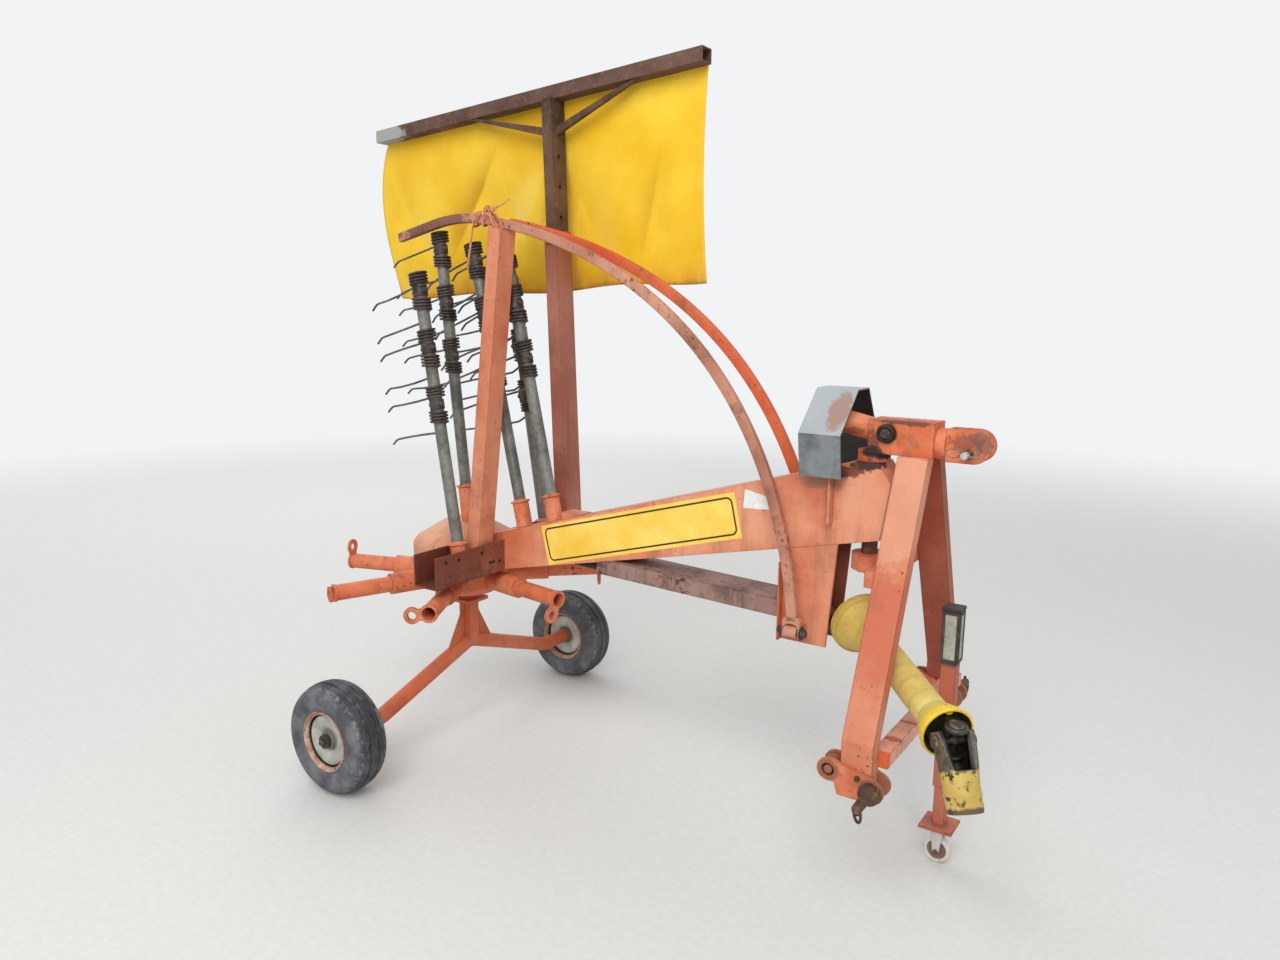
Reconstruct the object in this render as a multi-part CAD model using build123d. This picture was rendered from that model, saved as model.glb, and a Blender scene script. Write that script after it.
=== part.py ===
from build123d import *
import os
from math import atan2, cos, degrees, hypot, radians, sin, tan

# Rotary rake, parked on its wheels and jack. Millimetres, +X forward to the
# tractor, +Y to the machine's left, +Z up, and the ground is z = 0. All sizes
# below count from the rotor axis; put() then moves every piece back by
# origin_x, so the origin lies under the middle of the whole machine.

os.makedirs("parts", exist_ok=True)

origin_x = 800.6

# Clearances shared by everything.
run_gap = 0.3          # between a pin or wheel and what it turns in
seat_gap = 0.3         # between a piece at rest and its rest

# Wheels.
wheel_r = 205.0        # 16 inch tyre
tyre_w = 150.0
rim_r = 112.0
rim_w = 132.0
track = 1352.0
stub_axle_r = 16.0
hub_r = 34.0
hub_len = 96.0

# Axle.
axle_r = 30.0
axle_top = 375.0       # tube centre under the mast
axle_flat = 478.0      # |y| where the tube turns level
mast_side = 55.0
mast_top = 545.0
flange_side = 112.0
flange_t = 14.0
gusset_reach = 95.0
gusset_t = 8.0

# Rotor.
arm_count = 7
rotor_z = 665.0
stub_r = 31.0
stub_bore = 24.0
stub_end = 552.0
sleeve_r = 41.0
sleeve_end = 330.0
hub_drum_r = 168.0
hub_drum_low = 596.0
hub_drum_top = 712.0
shaft_r = 36.0
ear_t = 9.0
ear_r = 31.0
ear_hole_r = 15.0
ear_offset = 62.0
first_arm = -162.7
# angle of each stub's drive ear about its own axis, from level
ear_turn = (90, 200, 188, 240, 300, 20, 60)

# Gear dome.
dome_r = 215.0
dome_low = 720.0
dome_rim = 822.0
dome_top = 885.0
dome_crown_r = 95.0
dome_rib_count = 10
dome_rib_t = 10.0
dome_rib_h = 9.0

# Beam.
beam_w = 120.0
beam_rear = 190.0
beam_low_rear = 716.0
beam_low_slope = 0.2228
beam_top_rear = 864.0
beam_top_slope = 0.2885
beam_low_front = 1752.0
beam_nose = 1778.0
nose_z = 1294.0
nose_front = 1738.0
nose_rear = 1664.0


def beam_low(x):
    return beam_low_rear + beam_low_slope * (x - beam_rear)


def beam_top(x):
    return beam_top_rear + beam_top_slope * (x - beam_rear)


# Cross channel that carries the hoop post and two stored arms.
channel_x = 203.0
channel_w = 115.0
channel_low = 730.0
channel_h = 120.0
channel_t = 6.0
channel_end = 420.0

# Hoop post.
post_x_size = 60.0
post_y_size = 80.0
post_foot = (203.0, -150.0)
post_head = (285.0, -66.0)
post_head_z = 2026.0

# Guard hoops. The line is x and z of the corners of one hoop, stood upright.
hoop_x = 1512.0
hoop_y = 122.0
hoop_z = 752.0
hoop_lean = 2.7        # degrees towards the middle when folded up
hoop_w = 24.0
hoop_h = 34.0
hoop_bend = 400.0
hoop_foot_gap = 34.0
hoop_corners = ((1468.0, 1219.0), (822.0, 1927.0))
hoop_top_slope = 0.2125
hoop_crest = (120.0, 2076.0)
hoop_tail = (-235.0, 1998.0)
hoop_left_end = 215.0
hoop_pin_r = 9.0
twine_r = 2.0
twine_bend = 13.0
hoop_lug_len = 44.0
hoop_lug_r = 20.0
fork_t = 8.0

# Curtain arm.
arm_x = 433.0
arm_y = 130.0
arm_pin_z = 850.0
arm_back = 0.042       # backward lean, x per z
arm_box_x = 55.0
arm_box_y = 92.0
arm_wall = 6.0
arm_box_top = 2021.0
arm_fit = 0.3
arm_inner_low = 1350.0
arm_inner_top = 2492.0
arm_pin_r = 12.0
bar_size_y = 60.0
bar_size_z = 48.0
bar_wall = 4.0
bar_front = 1010.0
bar_rear = -590.0
bar_slope = 0.0704
curtain_drop = 705.0
curtain_t = 8.0
curtain_out = 150.0    # how far the lower edge stands out

# Stored tine arms.
tine_tube_r = 22.5
tine_arm_len = 1000.0
coil_r = 35.5
wire_r = 4.75
coil_turns = 4.0
coil_pair = 92.0
tine_pitch = 208.0
tine_count = 3
tine_top_gap = 62.0
tine_flange_r = 38.0
tine_flange_t = 7.0
socket_r = 31.0
# base x, y, z (under the flange), top x, y, z, heading of the tines
stored_arms = (
    (200.0, -250.0, 868.0, 45.0, -262.0, 1860.0, 164.5),
    (0.0, 0.0, 1030.0, -108.0, 0.0, 2020.0, 164.5),
    (292.0, 0.0, 1000.0, 65.0, 4.0, 1980.0, 164.5),
    (446.0, 0.0, 1040.0, 222.0, 4.0, 2020.0, 164.5),
    (200.0, 250.0, 868.0, 52.0, 240.0, 1860.0, 177.0),
)

# Headstock.
swivel_x = 1702.0
bracket_x = 1594.0
bracket_t = 9.0
bracket_low = 1098.0
bracket_out = 28.0
hood_rear = 1516.0
hood_front = 1648.0
hood_wall = 4.0
hood_low = 1246.0
swivel_r = 24.0
swivel_low = 958.0
head_leg_x = 1842.0
head_leg_w = 90.0
head_leg_t = 45.0
head_top_y = 52.0
leg_knee_z = 575.0
leg_low = 436.0
box_low = 1322.0
box_h = 100.0
box_w = 104.0
box_rear = 1698.0
box_front = 1890.0
neck_tube_r = 35.0
neck_tube_rear = 1560.0
neck_tube_rise = 44.0     # of its rear end over the box's middle
swivel_collar_r = 48.0
neck_bolt_r = 26.0
neck_bolt = (1754.0, 1384.0)
hitch_shoulder = 412.5   # category 2
hitch_pin_r = 14.0
hitch_pin_len = 112.0
hitch_collar = 9.0
hitch_x = 1889.0
hitch_z = 462.0
foot_plate_t = 10.0
foot_gap = 46.0
foot_eye = (1765.0, 493.0)
foot_eye_r = 32.0
foot_eye_bore = 18.0
foot_bush_r = 26.0
foot_nose_r = 34.0
link_x = 1985.0
link_z = 1342.0
link_pin_r = 12.5
link_gap = 52.0
link_t = 10.0
ear_x = 1996.0
ear_z = 1361.0
link_r = 47.0
lower_bar = 48.0
lower_bar_h = 40.0
lower_bar_x = 1889.0
lower_bar_z = 532.0
mid_bar_z = 985.0
mid_bar_h = 50.0

# Jack and castor.
jack_y = 122.0
jack_out = 45.0
jack_wall = 4.0
jack_in = 36.4
jack_top = 850.0
jack_low = 262.0
jack_inner_top = 560.0
jack_foot_z = 124.0
jack_plate = 52.0
jack_case = 51.0
jack_case_low = 672.0
jack_cap = 58.0
jack_cap_t = 10.0
castor_r = 43.0
castor_w = 30.0

# Trough, cheeks and drive line under the beam.
trough_w = 140.0
trough_h = 56.0
trough_t = 4.0
trough_rear = 716.0
trough_front = 1441.0
trough_top_front = 828.0
trough_slope = 0.0312
cheek_t = 8.0
cheek_rear = 1441.0
cheek_front = 1598.0
cheek_low = 700.0
drive_r = 17.5
drive_rear = 566.0
drive_slope = 0.03
bearing_rear = 1480.0
bearing_front = 1560.0

# Drive shaft to the tractor: its rear joint stands under the swivel axis.
pto_z = 770.0
pto_yaw = -46.0
pto_pitch = -10.5
pto_len = 540.0
joint_back = 34.0
# half width, wall, finger width, reach back and pin radius of each fork
rear_fork = (28.0, 8.0, 22.0, joint_back, 6.0)
front_fork = (46.0, 11.0, 32.0, 52.0, 9.5)
yoke_fork = (50.0, 14.0, 34.0, 88.0, 9.5)
guard_r = 45.5
guard_wall = 3.5
inner_r = 25.7
bell_r = 98.0
bell_back = 34.0
bell_wall = 4.0
collar_r = 68.0
collar_len = 78.0
yoke_bend = -51.5
yoke_len = 176.0
yoke_r = 45.0
yoke_bore = 17.4        # 1 3/8 inch tractor shaft


def put(shape, name):
    export_step(Pos(-origin_x, 0, 0) * shape, "parts/" + name + ".step")


def rod(p, q, r):
    p, q = Vector(*p), Vector(*q)
    return extrude(Plane(origin=p, z_dir=q - p) * Circle(r), (q - p).length)


def pipe(p, q, r, bore):
    p, q = Vector(*p), Vector(*q)
    ring = Circle(r) - Circle(bore)
    return extrude(Plane(origin=p, z_dir=q - p) * ring, (q - p).length)


def strut(p, q, across_x, other):
    p, q = Vector(*p), Vector(*q)
    plane = Plane(origin=p, x_dir=(1, 0, 0), z_dir=q - p)
    return extrude(plane * Rectangle(across_x, other), (q - p).length)


def block(x0, x1, y0, y1, z0, z1):
    size = Box(x1 - x0, y1 - y0, z1 - z0)
    return Pos((x0 + x1) / 2, (y0 + y1) / 2, (z0 + z1) / 2) * size


def plate_xz(points, y0, y1):
    face = make_face(Polyline(*[(x, y0, z) for x, z in points], close=True))
    return extrude(face, amount=y1 - y0, dir=(0, 1, 0))


def plate_yz(points, x0, x1):
    face = make_face(Polyline(*[(x0, y, z) for y, z in points], close=True))
    return extrude(face, amount=x1 - x0, dir=(1, 0, 0))


def trough_top(x):
    return trough_top_front + trough_slope * (trough_front - x)


def hoop_top(x):
    return hoop_corners[1][1] - hoop_top_slope * (x - hoop_corners[1][0])


def hoop_outer_face(z):
    lean = radians(hoop_lean)
    return hoop_y - (z - hoop_z) * tan(lean) + hoop_w / 2 / cos(lean)


def drive_z(x):
    return pto_z + drive_slope * (swivel_x - x)


# Wheels: dished rim with hub, tyre.
def make_rim(side):
    half = rim_w / 2
    dish = [
        (stub_axle_r + run_gap, -hub_len / 2), (hub_r, -hub_len / 2), (hub_r, 18),
        (62, 24), (88, 44), (rim_r - 16, 50), (rim_r - 16, -half + 6),
        (rim_r, -half), (rim_r, -half + 5), (rim_r - 12, -half + 10),
        (rim_r - 12, half - 10), (rim_r, half - 5), (rim_r, half),
        (rim_r - 16, half - 6), (rim_r - 16, 54), (86, 49), (58, 30),
        (hub_r, 24), (hub_r, hub_len / 2), (stub_axle_r + run_gap, hub_len / 2)]
    face = make_face(Polyline(*[(r, 0, w) for r, w in dish], close=True))
    rim = revolve(face, Axis.Z)
    turn = 90 if side > 0 else -90
    return Pos(0, side * track / 2, wheel_r) * Rot(-turn, 0, 0) * rim


def make_tyre(side):
    half = tyre_w / 2
    seat = rim_r - 12 + run_gap
    outer = [
        (seat, -rim_w / 2 + 12), (rim_r + 1, -rim_w / 2 + 6), (rim_r + 14, -half + 4),
        (rim_r + 42, -half), (wheel_r - 26, -half + 3), (wheel_r - 8, -half + 17),
        (wheel_r, -half + 38), (wheel_r, half - 38), (wheel_r - 8, half - 17),
        (wheel_r - 26, half - 3), (rim_r + 42, half), (rim_r + 14, half - 4),
        (rim_r + 1, rim_w / 2 - 6), (seat, rim_w / 2 - 12)]
    face = make_face(Polyline(*[(r, 0, w) for r, w in outer], close=True))
    tyre = revolve(face, Axis.Z)
    return Pos(0, side * track / 2, wheel_r) * Rot(90, 0, 0) * tyre


for side, name in ((1, "left"), (-1, "right")):
    put(make_rim(side), "wheel_rim_" + name)
    put(make_tyre(side), "tyre_" + name)

# Axle: arched tube, stub axles, mast with gussets.
axle_end = track / 2 - hub_len / 2 - 4
axle_path = FilletPolyline(
    (0, -axle_end, wheel_r), (0, -axle_flat, wheel_r), (0, 0, axle_top),
    (0, axle_flat, wheel_r), (0, axle_end, wheel_r), radius=90)
axle = sweep(Plane(origin=axle_path @ 0, z_dir=axle_path % 0) * Circle(axle_r), axle_path)
for side in (1, -1):
    inner = (0, side * (axle_end - 1), wheel_r)
    axle += rod(inner, (0, side * (track / 2 + hub_len / 2 + 12), wheel_r), stub_axle_r)
    nut = track / 2 + hub_len / 2 + 2
    axle += rod((0, side * nut, wheel_r), (0, side * (nut + 14), wheel_r), 25)
mast = block(-mast_side / 2, mast_side / 2, -mast_side / 2, mast_side / 2, axle_top - 12, mast_top)
mast += block(-flange_side / 2, flange_side / 2, -flange_side / 2, flange_side / 2, mast_top, mast_top + flange_t)
slope = (axle_top - wheel_r) / axle_flat
for side in (1, -1):
    start = side * (mast_side / 2 - 1)
    reach = side * (mast_side / 2 + gusset_reach)
    low = axle_top - slope * (mast_side / 2 + gusset_reach)
    mast += plate_yz([(start, axle_top), (reach, low + axle_r - 4), (reach, low + axle_r),
                      (start, mast_top - 8)], -gusset_t / 2, gusset_t / 2)
axle_frame = axle + mast
axle_frame += rod((0, 0, mast_top + 2), (0, 0, dome_low), shaft_r)
put(axle_frame, "axle_and_mast")

# Rotor: drum, sleeves, tine-arm tubes with drive ears.
drum_face = make_face(Polyline(
    (shaft_r + run_gap, 0, hub_drum_low), (118, 0, hub_drum_low), (hub_drum_r, 0, rotor_z - 34),
    (hub_drum_r, 0, hub_drum_top), (shaft_r + run_gap, 0, hub_drum_top), close=True))
rotor = revolve(drum_face, Axis.Z)
tubes = None
for i in range(arm_count):
    a = radians(first_arm + i * 360 / arm_count)
    ux, uy = cos(a), sin(a)
    near = (ux * (hub_drum_r - 22), uy * (hub_drum_r - 22), rotor_z)
    mid = (ux * sleeve_end, uy * sleeve_end, rotor_z)
    rotor += rod(near, mid, sleeve_r)
    start = (ux * (sleeve_end - 2), uy * (sleeve_end - 2), rotor_z)
    end = (ux * stub_end, uy * stub_end, rotor_z)
    rotor += rod(start, end, stub_r)
    plane = Plane(origin=(ux * (stub_end - ear_t), uy * (stub_end - ear_t), rotor_z),
                  x_dir=(-uy, ux, 0), z_dir=(ux, uy, 0))
    t = radians(ear_turn[i])
    ex, ey = ear_offset * cos(t), ear_offset * sin(t)
    outline = Circle(stub_r + 3) + Pos(ex, ey) * Circle(ear_r)
    web = Pos(ex / 2, ey / 2) * Rot(0, 0, degrees(t)) * Rectangle(ear_offset, 44)
    ear = extrude(plane * ((outline + web) - Pos(ex, ey) * Circle(ear_hole_r)), ear_t)
    rotor += ear
for i in range(arm_count):
    a = radians(first_arm + i * 360 / arm_count)
    ux, uy = cos(a), sin(a)
    rotor -= rod((ux * (sleeve_end + 20), uy * (sleeve_end + 20), rotor_z),
                 (ux * (stub_end + 5), uy * (stub_end + 5), rotor_z), stub_bore)
put(rotor, "rotor_with_arm_tubes")

# Gear dome.
dome_face = make_face(Polyline(
    (0, 0, dome_low), (dome_r - 10, 0, dome_low), (dome_r, 0, dome_low + 12), (dome_r, 0, dome_rim - 20),
    (dome_r - 14, 0, dome_rim), (dome_crown_r + 20, 0, dome_top - 12), (dome_crown_r, 0, dome_top),
    (0, 0, dome_top), close=True))
dome = revolve(dome_face, Axis.Z)
for i in range(dome_rib_count):
    rib = plate_xz([(dome_crown_r - 6, dome_top - 9), (dome_crown_r - 6, dome_top),
                    (dome_r - 34, dome_rim + dome_rib_h + 2), (dome_r - 34, dome_rim - 10)],
                   -dome_rib_t / 2, dome_rib_t / 2)
    dome += Rot(0, 0, i * 360 / dome_rib_count + 18) * rib
dome -= block(beam_rear, dome_r + 40, -beam_w / 2, beam_w / 2, dome_low - 60, dome_top + 60)
for y0, y1 in ((-dome_r, -beam_w / 2), (beam_w / 2, dome_r)):
    dome -= block(channel_x - channel_w / 2, dome_r + 40, y0, y1, dome_low - 5, dome_top + 60)
put(dome, "gear_dome")

# Main beam.
beam_side = [(beam_rear, beam_low(beam_rear)), (beam_low_front, beam_low(beam_low_front)),
             (beam_nose, 1238), (nose_front, nose_z), (nose_rear, nose_z),
             (1600, beam_top(1600)), (beam_rear, beam_top(beam_rear))]
beam = plate_xz(beam_side, -beam_w / 2, beam_w / 2)
beam -= rod((drive_rear - 6, 0, drive_z(drive_rear)), (900, 0, drive_z(900)), drive_r + 5)
beam -= rod((swivel_x, 0, 900), (swivel_x, 0, 1400), swivel_r + run_gap)
beam += block(520, 610, -30, 40, beam_top(520) - 2, beam_top(610) + 3)
for side in (-1, 1):
    x0 = arm_x + side * (arm_box_x / 2 + 2 + 5)
    beam += plate_yz([(beam_w / 2 - 2, arm_pin_z - 58), (arm_y, arm_pin_z - 40), (arm_y + 38, arm_pin_z - 16),
                      (arm_y + 38, arm_pin_z + 22), (arm_y, arm_pin_z + 38),
                      (beam_w / 2 - 2, arm_pin_z + 38)], x0 - 5, x0 + 5)
beam += rod((arm_x - 42, arm_y, arm_pin_z), (arm_x + 42, arm_y, arm_pin_z), arm_pin_r)
for side in (-1, 1):
    y0, y1 = sorted((side * (beam_w / 2 - 1), side * (beam_w / 2 + bracket_out)))
    beam += block(bracket_x, bracket_x + bracket_t, y0, y1, bracket_low, hood_low - seat_gap)
put(beam, "main_beam")

# Cross channels, one each side of the beam.
for side, name in ((-1, "right"), (1, "left")):
    y0, y1 = sorted((side * channel_end, side * beam_w / 2))
    x0, x1 = channel_x - channel_w / 2, channel_x + channel_w / 2
    chan = block(x0, x1, y0, y1, channel_low, channel_low + channel_h)
    chan -= block(x0 + channel_t, x1 - channel_t, y0 - 5, y1 + 5, channel_low + channel_t, channel_low + channel_h + 5)
    put(chan, "cross_channel_" + name)

# Hoop post, its head cut under the right hoop.
lean_x = (post_head[0] - post_foot[0]) / (post_head_z - channel_low)
lean_y = (post_head[1] - post_foot[1]) / (post_head_z - channel_low)
floor = channel_low + channel_t
under = (post_foot[0] - lean_x * 60, post_foot[1] - lean_y * 60, channel_low - 60)
over = (post_head[0] + lean_x * 60, post_head[1] + lean_y * 60, post_head_z + 60)
post = strut(under, over, post_x_size, post_y_size)
hoop_rest = hoop_h / 2 / cos(atan2(hoop_top_slope, 1)) + hoop_w * sin(radians(hoop_lean)) / 2 + seat_gap
hoop_rest += (hoop_top(post_head[0]) - hoop_z) * (1 - cos(radians(hoop_lean)))
post &= plate_xz([(0, floor), (500, floor), (500, hoop_top(500) - hoop_rest),
                  (0, hoop_top(0) - hoop_rest)], -400, 200)
put(post, "hoop_post")

# Sockets of the stored arms: on a channel floor, the dome or the beam.
socket_floor = (floor, dome_top, None, None, floor)


def arm_axis(row):
    base, top = Vector(*row[:3]), Vector(*row[3:6])
    return base, (top - base).normalized()


sockets = []
for i, row in enumerate(stored_arms):
    base, along = arm_axis(row)
    low = base - along * 400
    socket = rod(tuple(low), tuple(base - along * (tine_flange_t + seat_gap)), socket_r)
    if socket_floor[i] is None:
        socket &= plate_xz([(0, beam_top(0)), (900, beam_top(900)), (900, 1500), (0, 1500)], -90, 90)
    else:
        socket &= block(-400, 600, -400, 400, socket_floor[i], 1500)
    sockets += socket.solids()
put(Compound(sockets), "arm_sockets")


# Tine arms: tube, flange, three double coils, two tines from each.
def tine_arm(row):
    base, along = arm_axis(row)
    turn = radians(row[6])
    heading = Vector(cos(turn), sin(turn), 0)
    out = (heading - along * heading.dot(along)).normalized()
    plane = Plane(origin=base, x_dir=out, z_dir=along)
    body = extrude(Circle(tine_tube_r), tine_arm_len)
    body += Pos(0, 0, -tine_flange_t) * extrude(Circle(tine_flange_r), tine_flange_t)
    side_y = wire_r - coil_r
    for k in range(tine_count):
        middle = tine_arm_len - tine_top_gap - k * tine_pitch
        body += Pos(0, 0, middle - 16) * extrude(Circle(tine_tube_r + 7), 32)
        for s in (1, -1):
            centre = middle + s * coil_pair / 2
            coil_h = coil_turns * wire_r * 2
            body += Pos(0, 0, centre - coil_h / 2) * extrude(Circle(coil_r), coil_h)
            path = Polyline((0, side_y, centre), (100, side_y, centre - 36),
                            (385, side_y, centre - 52), (432, side_y, centre - 84))
            section = Plane(origin=path @ 0, z_dir=path % 0) * Circle(wire_r)
            body += sweep(section, path, transition=Transition.RIGHT)
    return plane * body


for i, row in enumerate(stored_arms):
    put(tine_arm(row), "tine_arm_%d" % (i + 1))


# Curtain arm: box, sliding tube with bar, stays, curtain.
def arm_at(z):
    return arm_x - arm_back * (z - arm_pin_z)


def arm_strut(z0, z1, smaller):
    return strut((arm_at(z0), arm_y, z0), (arm_at(z1), arm_y, z1),
                 arm_box_x - 2 * smaller, arm_box_y - 2 * smaller)


arm_box = arm_strut(arm_pin_z, arm_box_top, 0)
arm_box -= arm_strut(arm_pin_z + 60, arm_box_top + 60, arm_wall)
arm_box += rod((arm_x - arm_box_x / 2, arm_y, arm_pin_z), (arm_x + arm_box_x / 2, arm_y, arm_pin_z), arm_box_y / 2)
arm_box -= rod((arm_x - 90, arm_y, arm_pin_z), (arm_x + 90, arm_y, arm_pin_z), arm_pin_r + run_gap)
tab_x, tab_low = arm_at(arm_box_top), arm_box_top - 46
arm_box += block(tab_x - 12, tab_x + 12, hoop_outer_face(tab_low) + seat_gap, arm_y - arm_box_y / 2 + 1,
                 tab_low, arm_box_top - 2)
put(arm_box, "curtain_arm_box")


def bar_low(x):
    return arm_inner_top + bar_slope * (x - arm_at(arm_inner_top))


bar_y0 = arm_y + 15 - bar_size_y / 2

def bar_box(longer, wall):
    x0, x1 = bar_rear - longer, bar_front + longer
    low, high = wall, bar_size_z - wall
    return plate_xz([(x0, bar_low(x0) + low), (x1, bar_low(x1) + low), (x1, bar_low(x1) + high),
                     (x0, bar_low(x0) + high)], bar_y0 + wall, bar_y0 + bar_size_y - wall)


put(bar_box(0, 0) - bar_box(9, bar_wall), "curtain_bar")
under_bar = plate_xz([(0, 0), (900, 0), (900, bar_low(900)), (0, bar_low(0))], -100, 400)

inner = arm_strut(arm_inner_low, arm_inner_top + 20, arm_wall + arm_fit) & under_bar
for z in (2070, 2180, 2290):
    inner -= rod((arm_at(z) - 80, arm_y, z), (arm_at(z) + 80, arm_y, z), 9)
put(inner, "curtain_arm_tube")

stays = []
stay_root = arm_inner_top - 118
for x_end, name in ((-30, "rear"), (740, "front")):
    x_root = arm_at(stay_root)
    line = [(x_root, stay_root - 16), (x_end + 16, bar_low(x_end + 16)),
            (x_end - 16, bar_low(x_end - 16)), (x_root, stay_root + 16)]
    if name == "rear":
        line = [(x_root, stay_root - 16), (x_root, stay_root + 16),
                (x_end + 16, bar_low(x_end + 16)), (x_end - 16, bar_low(x_end - 16))]
    stay = plate_xz(line, arm_y - 8, arm_y + 8)
    stay -= arm_strut(arm_inner_low, arm_inner_top + 60, arm_wall + arm_fit)
    stays += stay.solids()
put(Compound(stays), "curtain_stays")

# The curtain hangs from the bar's far side, its lower edge standing out.
curtain_y = bar_y0 + bar_size_y + curtain_t / 2 + seat_gap
curtain_rear = bar_rear + 10
curtain_top = bar_low(curtain_rear) + 8
side_view = make_face(Polyline(
    (curtain_rear, curtain_y - curtain_t / 2, curtain_top),
    (curtain_rear, curtain_y + curtain_t / 2, curtain_top),
    (curtain_rear, curtain_y + curtain_out + curtain_t / 2, curtain_top - curtain_drop),
    (curtain_rear, curtain_y + curtain_out - curtain_t / 2, curtain_top - curtain_drop), close=True))
curtain_len = bar_front - bar_rear - 20
curtain = extrude(side_view, amount=curtain_len * hypot(1, bar_slope), dir=(1, 0, bar_slope))
put(curtain, "curtain")

# Guard hoops with the lugs that they fold on.
lugs = []
hoop_ends = {"right": [hoop_crest, hoop_tail], "left": [(hoop_left_end, hoop_top(hoop_left_end))]}
for side, name in ((-1, "right"), (1, "left")):
    line = [(hoop_x, hoop_z + hoop_foot_gap)] + list(hoop_corners) + hoop_ends[name]
    path = FilletPolyline(*[(x, 0, z - hoop_z) for x, z in line], radius=hoop_bend)
    section = Plane(origin=path @ 0, x_dir=(0, 1, 0), z_dir=path % 0) * Rectangle(hoop_w, hoop_h)
    hoop = sweep(section, path)
    for s in (-1, 1):
        x0 = hoop_x + s * (hoop_lug_len / 2 + 1 + fork_t / 2)
        hoop += block(x0 - fork_t / 2, x0 + fork_t / 2, -hoop_w / 2, hoop_w / 2, 0, 44)
        hoop += rod((x0 - fork_t / 2, 0, 0), (x0 + fork_t / 2, 0, 0), hoop_w / 2 + 6)
    reach = hoop_lug_len / 2 + 1 + fork_t
    hoop += block(hoop_x - reach, hoop_x + reach, -hoop_w / 2, hoop_w / 2, 26, 44)
    hoop += rod((hoop_x - reach - 7, 0, 0), (hoop_x + reach + 7, 0, 0), hoop_pin_r)
    put(Pos(0, side * hoop_y, hoop_z) * Rot(side * hoop_lean, 0, 0) * hoop, "guard_hoop_" + name)
    x0, x1 = hoop_x - hoop_lug_len / 2, hoop_x + hoop_lug_len / 2
    lug = rod((x0, side * hoop_y, hoop_z), (x1, side * hoop_y, hoop_z), hoop_lug_r)
    y0, y1 = sorted((side * beam_w / 2, side * hoop_y))
    lug += block(x0, x1, y0, y1, hoop_z - 14, hoop_z + 14)
    lug -= rod((hoop_x - 90, side * hoop_y, hoop_z), (hoop_x + 90, side * hoop_y, hoop_z), hoop_pin_r + run_gap)
    lugs += lug.solids()
put(Compound(lugs), "hoop_lugs")

# Loose end of the twine that is tied round the right hoop at the post.
twine_end = (121, -80, 1877)
twine_line = FilletPolyline((157, -64, 2085.1), (157, -79, 2085.1), (154, -79, 2040), twine_end, radius=twine_bend)
twine_section = Plane(origin=twine_line @ 0, z_dir=twine_line % 0) * Circle(twine_r)
put(sweep(twine_section, twine_line), "twine_tail")

# Cheeks under the beam.
for side, name in ((-1, "right"), (1, "left")):
    y0, y1 = sorted((side * (beam_w / 2 - cheek_t), side * beam_w / 2))
    top_rear, top_front = cheek_rear + 30, cheek_front + 26
    cheek = plate_xz([(cheek_rear, cheek_low), (cheek_front, cheek_low), (top_front, beam_low(top_front)),
                      (top_rear, beam_low(top_rear)), (cheek_rear, 955)], y0, y1)
    y0, y1 = sorted((side * (beam_w / 2 - cheek_t), side * (beam_w / 2 + 24)))
    cheek += block(cheek_rear, cheek_rear + 6, y0, y1, cheek_low, 955)
    put(cheek, "cheek_plate_" + name)

# Trough, drive shaft, input bearing with the fork of the rear joint.
meet = (trough_top(0) - beam_low(0)) / (beam_low_slope + trough_slope)
half = trough_w / 2
outer = [(trough_rear, trough_top(trough_rear) - trough_h), (trough_front, trough_top_front - trough_h),
         (trough_front, trough_top_front), (meet, trough_top(meet) - seat_gap),
         (trough_rear, beam_low(trough_rear) - seat_gap)]
hollow = [(trough_rear - 5, trough_top(trough_rear) - trough_h - 9),
          (trough_front + 5, trough_top_front - trough_h - 9),
          (trough_front + 5, trough_top_front - trough_t), (meet, trough_top(meet) - trough_t - 1),
          (trough_rear - 5, beam_low(trough_rear - 5) - trough_t - 1)]
trough = plate_xz(outer, -half, half) - plate_xz(hollow, trough_t - half, half - trough_t)
put(trough, "shaft_trough")
shaft_front = bearing_rear + 20
shaft = rod((drive_rear, 0, drive_z(drive_rear)), (shaft_front, 0, drive_z(shaft_front)), drive_r)
put(shaft, "drive_shaft")

cheek_gap = beam_w / 2 - cheek_t
bearing = block(bearing_rear, bearing_front, -cheek_gap, cheek_gap, 704, 862)
bearing -= rod((bearing_rear - 20, 0, drive_z(bearing_rear - 20)),
               (shaft_front + 1, 0, drive_z(shaft_front + 1)), drive_r + run_gap)
bearing += rod((bearing_front - 2, 0, pto_z + 5), (bearing_front + 28, 0, pto_z + 5), 40)
put(bearing, "input_bearing")


# A joint's fork: hub disc behind the cross, two fingers with pin holes at it.
def fork(centre, across, along, size):
    arm, wall, out, back, pin_r = size
    shape = Pos(0, 0, -back - 5) * Cylinder(arm + 2, 10)
    for s in (-1, 1):
        x = s * (arm - wall / 2)
        shape += Pos(x, 0, -back / 2) * Box(wall, out, back)
        shape += Pos(x, 0, 0) * Rot(0, 90, 0) * Cylinder(out / 2, wall)
    shape -= Rot(0, 90, 0) * Cylinder(pin_r + run_gap, arm * 3)
    return Plane(origin=centre, x_dir=across, z_dir=along) * shape


def cross(centre, arms):
    middle = Vector(*centre)
    bars = Pos(*centre) * Sphere(arms[0][1][4] + 5)
    for way, size in arms:
        reach = Vector(*way) * size[0]
        bars += rod(tuple(middle - reach), tuple(middle + reach), size[4])
    return bars


def heading(yaw, pitch):
    level = cos(radians(pitch))
    return (level * cos(radians(yaw)), level * sin(radians(yaw)), sin(radians(pitch)))


def minus(v):
    return (-v[0], -v[1], -v[2])


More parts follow.
